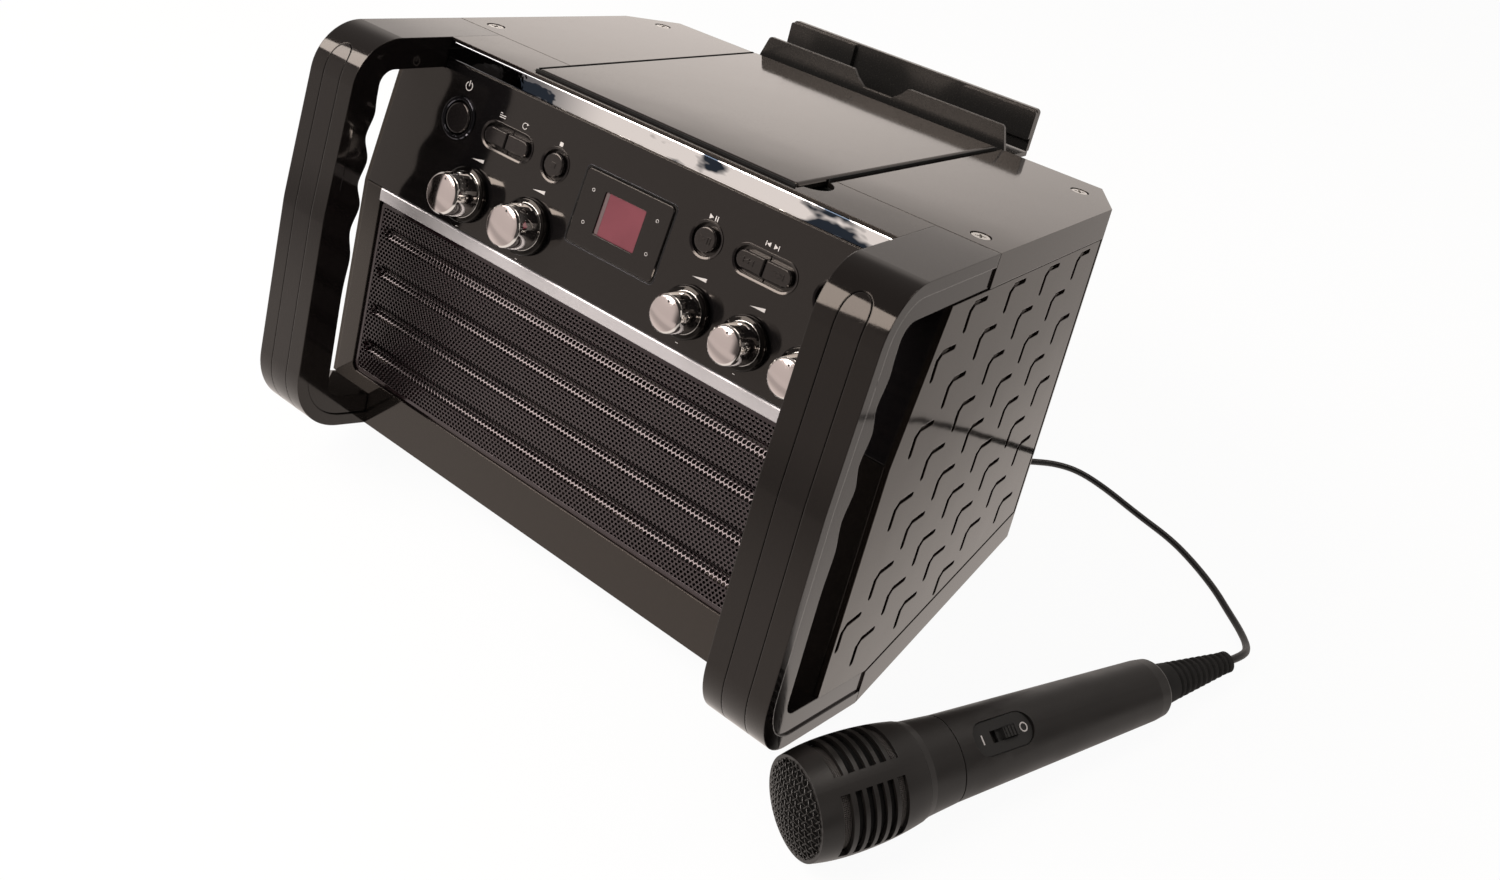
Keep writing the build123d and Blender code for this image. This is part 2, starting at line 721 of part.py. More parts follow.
cuts = Part()
for _, x, _, _, _ in knob_places:
    cuts += disc(shaft_d / 2 + shaft_clear, x, knob_v, -5, 2)
for x in (-button_x, button_x, end_x):
    cuts += opening(Circle(round_hole / 2), x, row_v)
for x in (-pill_x, pill_x):
    cuts += opening(SlotOverall(pill_w, pill_h), x, row_v)
cuts += disc(power_ring_d / 2, -end_x, row_v, -5, 2)
cuts += slab(bezel_w, bezel_h, bezel_r, bezel_v, -5, 2)
arm_room = arm_zone(panel_fit)
parts["control_panel"] = seat(on_panel(panel - cuts) - arm_room - mirror_x(arm_room))

bezel = slab(bezel_w - 2 * bezel_fit, bezel_h - 2 * bezel_fit, bezel_r - bezel_fit, bezel_v, -panel_t, 0.8)
bezel = chamfer(bezel.edges().group_by(Axis.Z)[-1], 0.5)
bezel -= slab(lens_w, lens_h, 1.0, lens_v, -8, 4)
bezel -= slab(lens_w + 3, lens_h + 3, 1.4, lens_v, -panel_t - 1, 1 - panel_t)
parts["display_bezel"] = seat(on_panel(bezel))
window = slab(lens_w + 2.6, lens_h + 2.6, 1.2, lens_v, -panel_t, 0.98 - panel_t)
window += slab(lens_w - 0.3, lens_h - 0.3, 0.9, lens_v, -panel_t, 0.2)
parts["display_lens"] = seat(on_panel(window))

ring = disc(power_ring_d / 2 - 0.15, -end_x, row_v, -panel_t, 1.2)
ring -= disc(power_ring_d / 2 - 0.15 - power_ring_w, -end_x, row_v, -5, 3)
ring = chamfer(ring.edges().filter_by(GeomType.CIRCLE).group_by(Axis.Z)[-1], 0.5)
parts["power_ring"] = seat(on_panel(ring))

# -------------------------------------------------------- push buttons
stem_low = board_h + board_t + switch_h + press + 0.2
flange_h = -panel_t - button_gap


def round_button(x, d):
    cap = disc(d / 2, x, row_v, -button_base, button_proud)
    cap = fillet(cap.edges().filter_by(GeomType.CIRCLE).group_by(Axis.Z)[-1], 1.1)
    cap += disc(d / 2 + 2.5, x, row_v, -button_base, flange_h)
    return cap + disc(2.2, x, row_v, stem_low, 0.2 - button_base)


def pill_button(x, side):
    """Half of a pill: round at its outer end, square at the middle."""
    mid = x + side * (pill_btn_w + pill_split) / 2
    r = pill_btn_h / 2
    face = Pos(-side * r / 2, 0) * Rectangle(pill_btn_w - r, pill_btn_h)
    face += Pos(side * (pill_btn_w / 2 - r), 0) * Circle(r)
    cap = Pos(mid, row_v, -button_base) * extrude(face, amount=button_base + button_proud)
    cap = chamfer(cap.edges().group_by(Axis.Z)[-1], 0.6)
    foot = pill(pill_w + 1.6, pill_h + 1.6, x, row_v, -button_base, flange_h)
    a, b = sorted((x + side * pill_split / 2, x + side * 40))
    foot = foot & block(a, b, 0, 100, -10, 10)
    return cap + foot + disc(2.0, mid, row_v, stem_low, 0.2 - button_base)


buttons = [("power", round_button(-end_x, power_d), -end_x),
           ("stop", round_button(-button_x, round_d), -button_x),
           ("play", round_button(button_x, round_d), button_x),
           ("light", round_button(end_x, round_d), end_x),
           ("function", pill_button(-pill_x, -1), -pill_x - (pill_btn_w + pill_split) / 2),
           ("program", pill_button(-pill_x, 1), -pill_x + (pill_btn_w + pill_split) / 2),
           ("skip_back", pill_button(pill_x, -1), pill_x - (pill_btn_w + pill_split) / 2),
           ("skip_forward", pill_button(pill_x, 1), pill_x + (pill_btn_w + pill_split) / 2)]
for name, piece, _ in buttons:
    parts["button_" + name] = seat(on_panel(piece))

# ------------------------------------------------------- control board
board_top = board_h + board_t


def on_board(x, v, w, d, h):
    """A block soldered on the control board."""
    return Pos(x, v, board_top) * Box(w, d, h, align=(Align.CENTER, Align.CENTER, Align.MIN))


board = block(-134.0, 134.0, 6.0, 66.0, board_h, board_top)
for _, x, _, _, _ in knob_places:
    pot = on_board(x, knob_v, 16, 17, pot_h) + disc(4.6, x, knob_v, board_top + pot_h - 1, -panel_t - 2.7)
    board += pot - disc(shaft_d / 2 + run_fit, x, knob_v, board_h + 3.4, 2)
for _, _, x in buttons:
    board += on_board(x, row_v, 6, 6, switch_h)
board += on_board(0, bezel_v, 30, 24, 9.6)
for x, v in [(s * 131.0, v) for s in (-1, 1) for v in (9.5, 38.0)] + \
        [(s * 31.0, v) for s in (-1, 1) for v in (10.5, 39.0)]:
    board += disc(2.6, x, v, board_h, -front_wall)
parts["control_board"] = seat(on_panel(board))

# --------------------------------------------------------------- knobs
skirt_top = knob_lift + skirt_h
for name, x, skirt, foot_wide, face_wide in knob_places:
    side = [(knob_lift, 0), (knob_lift, skirt / 2 - 0.6), (knob_lift + 0.6, skirt / 2),
            (skirt_top - knob_edge, skirt / 2), (skirt_top, skirt / 2 - knob_edge),
            (skirt_top, foot_wide / 2), (knob_h - knob_edge, face_wide / 2),
            (knob_h, face_wide / 2 - knob_edge), (knob_h, 0)]
    knob = Pos(x, knob_v, 0) * turned(side) + disc(shaft_d / 2, x, knob_v, board_h + 3.9, 2)
    knob -= disc(dot_r, x, knob_v + face_wide / 2 - dot_in, knob_h - 0.4, knob_h + 1)
    parts["knob_" + name] = seat(on_panel(knob))

# -------------------------------------------------------- loudspeakers
frame_side = [(0, spk_hole + 3.5), (2.4, spk_hole + 3.5), (2.6, spk_hole - 3), (22, 22.5), (26, 22.5),
              (26, 27), (37, 27), (37, 4), (30, 4), (30, 13.5), (26, 13.5), (26, 19.5), (22, 19.5),
              (2, spk_hole - 5.5), (0, spk_hole - 5.5)]
cone_side = [(0.2, spk_hole - 5.8), (1.8, spk_hole - 5.8), (1.8, spk_hole - 9), (20, 19), (20, 13),
             (21.4, 13), (25, 0), (18.2, 0), (14.5, 10), (18.4, 13.2), (0.6, spk_hole - 12),
             (-0.8, spk_hole - 9)]
for s, side in ((-1, "left"), (1, "right")):
    spot = Pos(s * spk_x, fascia_y + front_wall, spk_z)
    parts["speaker_frame_" + side] = seat(spot * turned_y(frame_side))
    parts["speaker_cone_" + side] = seat(spot * turned_y(cone_side))

# ----------------------------------------------------------- disc deck
deck_front = trim_y + front_wall + deck_fit
deck = block(-deck_half, deck_half, deck_front, door_rear_y, deck_low, height - wall - touch)
deck += block(2 - door_half_front, door_half_front - 2, door_front_y - door_gap + deck_fit, deck_front + 1,
              deck_lip_z, tray_z)
deck -= plate_z(door_plan(door_gap), tray_z, height + 1)
deck -= rod(0, disc_y, well_z, well_r, 30)
deck -= rod(0, disc_y - well_r + 1, well_z + 2.2, thumb_r, 30)
deck -= rod(0, disc_y, deck_low - 1, hub_hole_r, 10)
deck -= block(-lens_half, lens_half, disc_y + lens_run[0], disc_y + lens_run[1], deck_low - 1, height)
deck -= rod(notch_x, notch_y, height - 9, notch_r, 15)
deck -= rod(-swing_x, hinge_y, hinge_z, swing_r, 2 * swing_x, "x")
deck -= block(-deck_half - 1, deck_half + 1, hinge_y - 9.5, far, deck_low - 0.5, far)
deck += block(-deck_half, deck_half, hinge_y - 14, door_rear_y + 0.5, deck_low - 3, deck_low - 0.2)
deck += block(-deck_half, deck_half, hinge_y - 14, hinge_y - 10.5, deck_low - 3, deck_low + 1.5)
lug_out = knuckle_x + knuckle_w + knuckle_gap + lug_w
for s in (-1, 1):
    for x in (knuckle_x - lug_w - knuckle_gap, knuckle_x + knuckle_w + knuckle_gap):
        a, b = span(s, x, x + lug_w)
        deck += block(a, b, hinge_y - lug_r, hinge_y + lug_r, deck_low - 2.5, hinge_z)
        deck += rod(a, hinge_y, hinge_z, lug_r, lug_w, "x")
for s in (-1, 1):
    a, b = span(s, knuckle_x - lug_w - 1, lug_out + 0.6)
    deck -= rod(a, hinge_y, hinge_z, pin_d / 2 + pin_fit, b - a, "x")
parts["disc_deck"] = seat(deck)

pins = Part()
for s in (-1, 1):
    a, b = span(s, knuckle_x - lug_w - knuckle_gap, lug_out)
    pins += rod(a, hinge_y, hinge_z, pin_d / 2, b - a, "x")
parts["door_pins"] = seat(pins)

# ----------------------------------------------------------- disc door
under = height + door_proud - door_t
door = plate_z([(-door_half_front, door_front_y), (door_half_front, door_front_y),
                (door_half_rear, door_rear_y), (-door_half_rear, door_rear_y)], under, height + door_proud)
door = fillet(door.edges().filter_by(Axis.Z).group_by(Axis.Y)[0], door_corner)
door = fillet(door.edges().group_by(Axis.Z)[-1], door_edge)
door -= rod(0, disc_y, under - 1, 58.0, 2.2)
door += rod(0, disc_y, under - 0.4, clamp_r, 2.4) - rod(0, disc_y, under - 2, clamp_hole_r, 3.0)
for s in (-1, 1):
    a, b = span(s, knuckle_x, knuckle_x + knuckle_w)
    door += rod(a, hinge_y, hinge_z, knuckle_r, knuckle_w, "x")
    door += block(a, b, hinge_y - 3.6, hinge_y + 3.6, hinge_z, under + 0.5)
    door -= rod(a - 0.2, hinge_y, hinge_z, pin_d / 2 + run_fit, knuckle_w + 0.4, "x")
parts["disc_door"] = seat(door)

# --------------------------------------- turntable, motor and lens sled
hub_z = well_z + 0.2
hub = rod(0, disc_y, hub_z, hub_base_r, 1.6) + rod(0, disc_y, hub_z + 1.6, hub_d / 2, 3.4)
hub = fillet(hub.edges().filter_by(GeomType.CIRCLE).group_by(Axis.Z)[-1], 1.6)
hub += rod(0, disc_y, motor_z[0] + 6.5, spindle_r, hub_z - motor_z[0] - 6)
parts["spindle"] = seat(hub)

motor = rod(0, disc_y, motor_z[0], motor_r, motor_z[1] - motor_z[0])
motor -= rod(0, disc_y, motor_z[0] + 6, spindle_r + run_fit, 20)
chassis = block(-chassis_half, chassis_half, disc_y + chassis_run[0], disc_y + chassis_run[1], *chassis_z)
chassis -= rod(0, disc_y, chassis_z[0] - 8, 4, 20)
chassis -= block(-sled_half - 1, sled_half + 1, disc_y + sled_room[0], disc_y + sled_room[1], sled_z[0] - 1,
                 deck_low)
for s in (-1, 1):
    for y in (disc_y, disc_y + sled_room[1] + 1.5):
        chassis += rod(s * (chassis_half - 3), y, chassis_z[1] - 0.5, 2.4, deck_low - chassis_z[1] + 0.5)
motor += chassis
for s in (-1, 1):
    for run in ((9, sled_room[0]), (sled_room[1], chassis_run[1])):
        motor += block(s * rail_x - 4, s * rail_x + 4, disc_y + run[0], disc_y + run[1], rail_z - 4.5,
                       chassis_z[1])
motor -= rod(rail_x, disc_y + 9.5, rail_z, rail_r + run_fit, 62, "y")
motor += rod(-rail_x, disc_y + 10.0, rail_z, rail_r, 56.0, "y")
parts["motor_bracket"] = seat(motor)

sled = block(-sled_half, sled_half, disc_y + sled_run[0], disc_y + sled_run[1], *sled_z)
sled += rod(0, disc_y + sum(sled_run) / 2, sled_z[1] - 0.5, lens_r, 5.6)
for s in (-1, 1):
    sled -= rod(s * rail_x, disc_y + 10, rail_z, rail_r + run_fit, 60, "y")
parts["laser_sled"] = seat(sled)
parts["lead_screw"] = seat(rod(rail_x, disc_y + 9.8, rail_z, rail_r, 57.0, "y"))

# --------------------------------------------------- tablet cradle, rear
cx, fz = cradle_half, cradle_floor_z
cradle = block(-cx, cx, cradle_lip_y - 3.0, cradle_back_y + 5.0, fz, fz + cradle_floor_t)
half_lip = [(cx, fz), (cx, fz + 8), (cx - 4.5, cradle_lip_z), (20.0, cradle_lip_z), (16.0, fz + 17),
            (10.0, fz + 12.5)]
lip = half_lip + [(-x, z) for x, z in reversed(half_lip)]
lip_plane = Plane(origin=(0, cradle_lip_y, 0), x_dir=(1, 0, 0), z_dir=(0, -1, 0))
lips = extrude(lip_plane * make_face(Polyline(*lip, close=True)), amount=cradle_lip_t)
cradle += fillet(lips.edges().filter_by(Axis.Y).group_by(Axis.Z)[-1], 2.5)
web_low, web_high = rear_line(cradle_web_z) + touch, rear_line(fz - 3.5) + touch
web = [(web_low, cradle_web_z), (web_low + 5, cradle_web_z), (cradle_back_y + 2, fz - 3),
       (cradle_back_y + 2, fz + 1), (rear_line(fz) + 3, fz + 1), (web_high, fz - 3.5)]
for x in cradle_web_x:
    cradle += prism_x(web, x - cradle_web_t / 2, x + cradle_web_t / 2)
flange_high = rear_line(flange_top_z) + touch
flange = [(web_low, cradle_web_z), (web_low + flange_t, cradle_web_z),
          (flange_high + flange_t, flange_top_z), (flange_high, flange_top_z)]
cradle += prism_x(flange, -flange_half, flange_half)
rest_y = cradle_back_y + 1.5
rest_z = fz + cradle_floor_t + rest_lift
for s in (-1, 1):
    for x in rest_lug_x:
        a, b = span(s, x, x + rest_lug_w)
        cradle += block(a, b, rest_y - rest_r, rest_y + rest_r, fz + 1, rest_z)
        cradle += rod(a, rest_y, rest_z, rest_r, rest_lug_w, "x")
        cradle -= rod(a - 1, rest_y, rest_z, rest_pin_r + pin_fit, rest_lug_w + 2, "x")
parts["cradle_bracket"] = seat(cradle)

rest_half = cx + 1
rest = block(-rest_half, rest_half, rest_y - rest_t / 2, rest_y + rest_t / 2, rest_z - 2.3, cradle_top_z)
rest = fillet(rest.edges().filter_by(Axis.Y).group_by(Axis.Z)[-1], 2.5)
for s in (-1, 1):
    a, b = span(s, rest_pad_x, rest_half)
    front_y = rest_y - rest_t / 2 + 0.5
    pad = block(a, b, front_y - rest_pad_t - 0.5, front_y, rest_z + 5.0, cradle_top_z - 1.2)
    rest += fillet(pad.edges().filter_by(Axis.Y), 1.6)
    a, b = span(s, rest_lug_x[0] - 0.5, rest_lug_x[1] + rest_lug_w + 0.5)
    rest -= block(a, b, rest_y - 6, rest_y + 6, rest_z - 6, rest_z + 3.6)
    a, b = span(s, *rest_barrel)
    rest += block(a, b, rest_y - 2.2, rest_y + 2.0, rest_z, rest_z + 4.0)
    rest += rod(a, rest_y, rest_z, rest_r, b - a, "x")
    rest -= rod(a - 1, rest_y, rest_z, rest_pin_r + run_fit, b - a + 2, "x")
parts["cradle_rest"] = seat(rest)
rest_pins = Part()
for s in (-1, 1):
    a, b = span(s, rest_lug_x[0], rest_lug_x[1] + rest_lug_w)
    rest_pins += rod(a, rest_y, rest_z, rest_pin_r, b - a, "x")
parts["cradle_pins"] = seat(rest_pins)

# -------------------------------------------- rear sockets, screws, feet
wall_y = rear_line(jack_z)
block_y = wall_y - 14.6
socket_set = block(-130, 130, block_y, block_y + board_t, jack_z - 16, jack_z + 16)
for x in (jack_x, jack_x - jack_pitch):
    socket_set -= rod(x, block_y - 5, jack_z, 6.0, 10, "y")
for x, barrel, bore, flange, proud, deep in sockets:
    body_of_it = rod(x, wall_y - deep, jack_z, barrel, deep + proud, "y")
    body_of_it += rod(x, wall_y - deep, jack_z, flange, deep - 3.6, "y")
    socket_set += body_of_it - rod(x, wall_y - deep + socket_back, jack_z, bore, deep + 10, "y")
parts["rear_sockets"] = seat(socket_set)

screws = Part()
for x, y in screw_spots:
    for s in (-1, 1):
        head_z = height - screw_deep + 2.3
        screw = rod(s * x, y, height - screw_deep, screw_head_r, 2.3)
        screw = fillet(screw.edges().filter_by(GeomType.CIRCLE).group_by(Axis.Z)[-1], 0.8)
        cross = block(-cross_l / 2, cross_l / 2, -cross_w / 2, cross_w / 2, -cross_deep, 1)
        screw -= Pos(s * x, y, head_z) * Rot(0, 0, 25) * (cross + Rot(0, 0, 90) * cross)
        screws += screw + rod(s * x, y, height - screw_long, screw_r, screw_long - 2)
parts["top_screws"] = seat(screws)

feet = Part()
for run in foot_runs:
    for s in (-1, 1):
        foot = Pos(s * foot_x, run - base_mid, 0) * cylinder(foot_d / 2, foot_h)
        feet += chamfer(foot.edges().filter_by(GeomType.CIRCLE).group_by(Axis.Z)[0], foot_edge)
parts["feet"] = feet

# ----------------------------------------------------------- microphone
beside = Vector(hw, 0, 0)
mic_end = beside + Vector(*mic_tail)
mic_axis = (beside + Vector(*mic_front) - mic_end).normalized()
level = Vector(0, 0, 1) - mic_axis * mic_axis.Z
mic_place = Plane(origin=mic_end, x_dir=level, z_dir=mic_axis).location * Rot(0, 0, mic_roll)


def lay(shape):
    """Lay a shape drawn along z, tail at zero, where the microphone lies."""
    return mic_place * shape


def stadium(grow, x0, x1):
    """Outline of the switch plate, cut or raised between two depths."""
    face = Plane(origin=(x0, 0, sum(plate_u) / 2), x_dir=(0, 0, 1), z_dir=(1, 0, 0)) * \
        SlotOverall(plate_u[1] - plate_u[0] + 2 * grow, plate_wide + 2 * grow)
    return extrude(face, amount=x1 - x0)


grip = turned([(0, mic_bore_r), (0, mic_tail_r - 2.3), (0.6, mic_tail_r - 1.4), (1.8, mic_tail_r - 0.7),
                 (8, mic_tail_r), (neck_u, mic_neck_r), (neck_u, mic_bore_r)])
grip -= stadium(0, plate_x - plate_t, 30)
grip -= block(plate_x - plate_t - 2.4, plate_x, -4.6, 4.6, slot_u[0] - 3, slot_u[1] + 3)
parts["mic_grip"] = lay(grip)
switch_plate = stadium(-plate_fit, plate_x - plate_t, plate_x)
switch_plate -= block(10, 30, -slot_wide / 2, slot_wide / 2, *slot_u)
parts["mic_switch_plate"] = lay(switch_plate)
slide_u = slot_u[0] + plate_fit
slide_half = slot_wide / 2 - plate_fit
slider = block(plate_x - plate_t - 2.0, plate_x - plate_t - 0.3, -4.2, 4.2, slide_u - 2.5,
               slide_u + slide_len + 2.5)
slider += block(plate_x - plate_t - 1, plate_x + 1.9, -slide_half, slide_half, slide_u, slide_u + slide_len)
for i in range(slide_ribs):
    u = slide_u + 1.2 + 1.85 * i
    slider -= block(plate_x + 1.4, plate_x + 3, -3, 3, u, u + 0.9)
parts["mic_switch"] = lay(slider)

collar_u = head_u - 0.2
neck = turned([(neck_u, 12.0), (neck_u, mic_neck_r - 0.4), (neck_u + 0.8, mic_neck_r + 0.1),
                 (146, mic_neck_r + 0.9), (152, mic_neck_r + 1.4), (collar_u, mic_head_low_r),
                 (collar_u, 12.0)])
parts["mic_neck"] = lay(neck)
outer = Spline((mic_head_low_r + 0.2, 0, head_u), (mic_head_r - 0.7, 0, 170), (mic_head_r, 0, 186),
               (mic_head_r - 0.7, 0, 202), (mic_rim_r, 0, mic_len))
inner = Spline((mic_head_low_r - 0.9, 0, head_u), (mic_head_r - 2.6, 0, 170), (mic_head_r - 1.9, 0, 186),
               (mic_head_r - 2.7, 0, 202), (mic_rim_r - 1, 0, mic_len - mic_rim_t))
rim = [(mic_rim_r, 0, mic_len), (mic_rim_in_r, 0, mic_len), (mic_rim_in_r, 0, mic_len - mic_rim_t),
       (mic_rim_r - 1, 0, mic_len - mic_rim_t)]
foot_of_head = Line((mic_head_low_r - 0.9, 0, head_u), (mic_head_low_r + 0.2, 0, head_u))
rim_lines = [Line(rim[i], rim[i + 1]) for i in range(3)]
head = revolve(make_face([outer] + rim_lines + [inner, foot_of_head]), Axis.Z)
for u, w in head_slots:
    cut = revolve(Plane.XZ * Pos(mic_head_r, u) * Rectangle(14, w), Axis.Z, revolution_arc=slot_arc)
    for i in range(4):
        head -= Rot(0, 0, 45 - slot_arc / 2 + 90 * i) * cut
parts["mic_head"] = lay(head)

# woven dome over the front, and the sleeve behind the slots
dome_r = mic_rim_in_r - 0.3
dome_u = mic_len - 1.0
ball = (dome_r ** 2 + dome_h ** 2) / (2 * dome_h)
sleeve_r, sleeve_u = 19.9, mic_len - mic_rim_t - 0.3
dome = Pos(0, 0, dome_u + dome_h - ball) * (Sphere(ball) - Sphere(ball - mesh_t))
dome = dome & Pos(0, 0, dome_u - 1.2) * cylinder(dome_r - mesh_t / 2, 20)
basket = turned([(collar_u, sleeve_r), (sleeve_u, sleeve_r), (sleeve_u, dome_r), (dome_u, dome_r),
                   (dome_u, dome_r - mesh_t), (sleeve_u - mesh_t, dome_r - mesh_t),
                   (sleeve_u - mesh_t, sleeve_r - mesh_t), (collar_u, sleeve_r - mesh_t)])
parts["mic_mesh"] = lay(basket + dome)
parts["mic_capsule"] = lay(turned([(collar_u, 0), (collar_u, 14), (head_u + 2, 14), (head_u + 3, 7.5),
                                     (184, 7.5), (184, 10.5), (199, 10.5), (200, 9.5), (200, 0)]))

# strain relief: a cone with rings, and a bead at its end
relief = [(8.0, 0), (8.0, 8.7), (0.0, 8.7), (0.0, 10.3), (-1.0, 10.4), (-11.0, 9.3)]
for i in range(relief_rings):
    u = -11.0 - relief_pitch * i
    r = 9.0 - 0.43 * i
    relief += [(u - 1.2, r - 1.0), (u - 2.2, r), (u - 3.6, r), (u - relief_pitch, r - 1.0)]
relief += [(3.0 - relief_len, 5.4), (0.6 - relief_len, 5.4), (-relief_len, 4.6), (-relief_len, 0)]
parts["mic_relief"] = lay(turned(relief))


# ----------------------------------------------------------------- cord
def cord_tube(points, d):
    """Straight runs joined by tangent arcs, each as large as its runs allow."""
    vs = [Vector(*q) for q in points]
    radii = []
    for i in range(1, len(vs) - 1):
        a, b = vs[i] - vs[i - 1], vs[i + 1] - vs[i]
        half = math.radians(a.get_angle(b)) / 2
        radii.append(0.45 * min(a.length, b.length) / math.tan(half))
    line = FilletPolyline(*points, radius=radii)
    tube = sweep(Plane(origin=line @ 0, z_dir=line % 0) * Circle(d / 2), path=line)
    print("cord", round(line.length, 1), "tightest", round(min(radii), 1), "volume", round(tube.volume, 1),
          "section x length", round(math.pi * d * d / 4 * line.length, 1))
    return tube


coil_room = Pos(coil_x, coil_y, coil_low) * cylinder(coil_mid_r + coil_half, coil_high)
coil = coil_room - Pos(coil_x, coil_y, 0) * cylinder(coil_mid_r - coil_half, coil_high + 1)
coil = fillet(coil.edges().filter_by(GeomType.CIRCLE), coil_edge)
parts["mic_cord_coil"] = coil
relief_end = mic_end - mic_axis * relief_len
first_bend = relief_end - mic_axis * cord_start
cord_route = [tuple(relief_end), tuple(first_bend)] + [(hw + x, y, z) for x, y, z in cord_near] + cord_far
parts["mic_cord"] = cord_tube(cord_route, cord_d) - coil_room

# plug in the right-hand jack, drawn in the cabinet's frame
plug_y = wall_y + jack_proud + 0.2
shaft_r = jack_bore / 2 - jack_fit
plug = turned_y([(plug_y - plug_shaft, 0), (plug_y - plug_shaft + 1.0, 1.8),
                 (plug_y - plug_shaft + 3.5, shaft_r), (plug_y, shaft_r), (plug_y, plug_grip_r),
                 (plug_y + 22, plug_grip_r), (plug_y + 25, plug_grip_r - 1.2), (plug_y + plug_len, 3.2),
                 (plug_y + plug_len, 0)])
parts["mic_plug"] = seat(Pos(jack_x, 0, jack_z) * plug)
tip = seat(Pos(jack_x, plug_y + plug_len, jack_z) * Vertex(0, 0, 0)).center()
out = seat(Pos(jack_x, plug_y + plug_len + lead_out, jack_z) * Vertex(0, 0, 0)).center()
parts["mic_cord_lead"] = cord_tube([tuple(tip), tuple(out)] + lead_route, cord_d) - coil_room

# ------------------------------------------------------------- origin
# The origin is the middle of the table that everything but the cord covers.
cord_parts = ("mic_cord", "mic_cord_coil", "mic_cord_lead", "mic_plug")
boxes = [shape.bounding_box() for name, shape in parts.items() if name not in cord_parts]
middle_x = (min(b.min.X for b in boxes) + max(b.max.X for b in boxes)) / 2
middle_y = (min(b.min.Y for b in boxes) + max(b.max.Y for b in boxes)) / 2
print("middle", round(middle_x, 4), round(middle_y, 4))

# ---------------------------------------------------------------- files
os.makedirs("parts", exist_ok=True)
for name, shape in parts.items():
    export_step(Pos(-middle_x, -middle_y, 0) * shape, f"parts/{name}.step")
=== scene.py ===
# %% [markdown]
# # Karaoke machine with a disc tray and a corded microphone
# The cabinet, handles, knobs and microphone come from the CAD frame and are only given
# their finishes here. What a solid can't show well, such as the punched speaker sheet, the
# woven wire of the microphone and its cord, is made in Blender on top of the frame.

# %% Load the frame
import math
import bmesh
import bpy
from mathutils import Matrix, Vector


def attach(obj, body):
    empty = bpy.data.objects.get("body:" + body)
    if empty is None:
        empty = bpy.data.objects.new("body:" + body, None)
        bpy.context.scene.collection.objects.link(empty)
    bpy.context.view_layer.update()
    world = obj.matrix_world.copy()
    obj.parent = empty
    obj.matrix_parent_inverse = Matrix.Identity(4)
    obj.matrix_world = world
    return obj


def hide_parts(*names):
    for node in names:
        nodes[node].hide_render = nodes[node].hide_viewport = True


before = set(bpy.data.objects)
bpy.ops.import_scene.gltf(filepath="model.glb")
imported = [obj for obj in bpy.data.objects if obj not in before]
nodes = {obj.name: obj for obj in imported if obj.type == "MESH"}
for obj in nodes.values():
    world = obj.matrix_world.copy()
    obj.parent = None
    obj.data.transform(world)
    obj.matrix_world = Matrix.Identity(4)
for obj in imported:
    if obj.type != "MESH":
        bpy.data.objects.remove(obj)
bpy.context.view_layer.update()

MM = 0.001
CABINET = "cabinet"

# %% [markdown]
# ## The camera
# The machine is seen from above its right front corner with a wide lens. The frame is
# cropped low, so the lens is shifted down instead of the camera being turned.

# %% Camera
MIDDLE = Vector((69.2736, -15.0424, 0.0))


def table(x, y, z):
    """A point in the table's own millimetres, in metres from the frame's origin."""
    return (Vector((x, y, z)) - MIDDLE) * MM


LENS_MM = 30.87
EYE = table(349.19, -540.15, 493.53)
RIGHT = Vector((0.79414, 0.59131, 0.14036))
DOWN = Vector((0.35788, -0.26833, -0.89438))
AHEAD = Vector((-0.49119, 0.76049, -0.42471))

lens = bpy.data.cameras.new("studio_camera")
lens.lens = LENS_MM
lens.sensor_width = 36.0
lens.shift_x = -0.0019
lens.shift_y = -0.1768
lens.clip_start = 0.01
camera = bpy.data.objects.new("studio_camera", lens)
turn = Matrix((RIGHT, -DOWN, -AHEAD)).transposed()
camera.matrix_world = Matrix.Translation(EYE) @ turn.to_4x4()
bpy.context.scene.collection.objects.link(camera)
bpy.context.scene.camera = camera
print("camera at", [round(v, 3) for v in EYE], "lens", LENS_MM, "mm")

# %% [markdown]
# ## Places on the machine
# The cabinet stands tipped back on the rear half of its base. Sizes on it are easier to
# say square to its own top, so two small functions turn them into the standing frame.

# %% Places on the cabinet and on its leaning control panel
TIP = math.radians(10.0)
PANEL_LEAN = math.radians(10.0)
KEEL_Y, BASE_MID, FOOT_H = 101.0, 102.0, 3.0
FASCIA_Y, BEND_Z = 51.5, 148.9


def seated(x, y, z):
    """A point of the cabinet, square to its top, as it stands. Millimetres to metres."""
    back = (y - KEEL_Y) * math.cos(TIP) + z * math.sin(TIP) - BASE_MID
    up = z * math.cos(TIP) - (y - KEEL_Y) * math.sin(TIP) + FOOT_H
    return table(x, back, up)


def on_panel(x, v, h):
    """A point on the control panel: across, up the slope, out of the panel."""
    y = FASCIA_Y + v * math.sin(PANEL_LEAN) - h * math.cos(PANEL_LEAN)
    z = BEND_Z + v * math.cos(PANEL_LEAN) + h * math.sin(PANEL_LEAN)
    return seated(x, y, z)


def face_frame(origin, across, up):
    """A matrix from millimetres on a face (across, up, out of it) to its place in metres."""
    turn = Matrix((across, up, across.cross(up))).transposed().to_4x4()
    return Matrix.Translation(origin) @ turn @ Matrix.Scale(MM, 4)


ACROSS = Vector((1, 0, 0))
CABINET_UP = (seated(0, 0, 1) - seated(0, 0, 0)).normalized()
PANEL_UP = (on_panel(0, 1, 0) - on_panel(0, 0, 0)).normalized()
PANEL = face_frame(on_panel(0, 0, 0), ACROSS, PANEL_UP)
print("panel leans", round(math.degrees(PANEL_UP.angle(Vector((0, 0, 1)))), 1), "degrees")

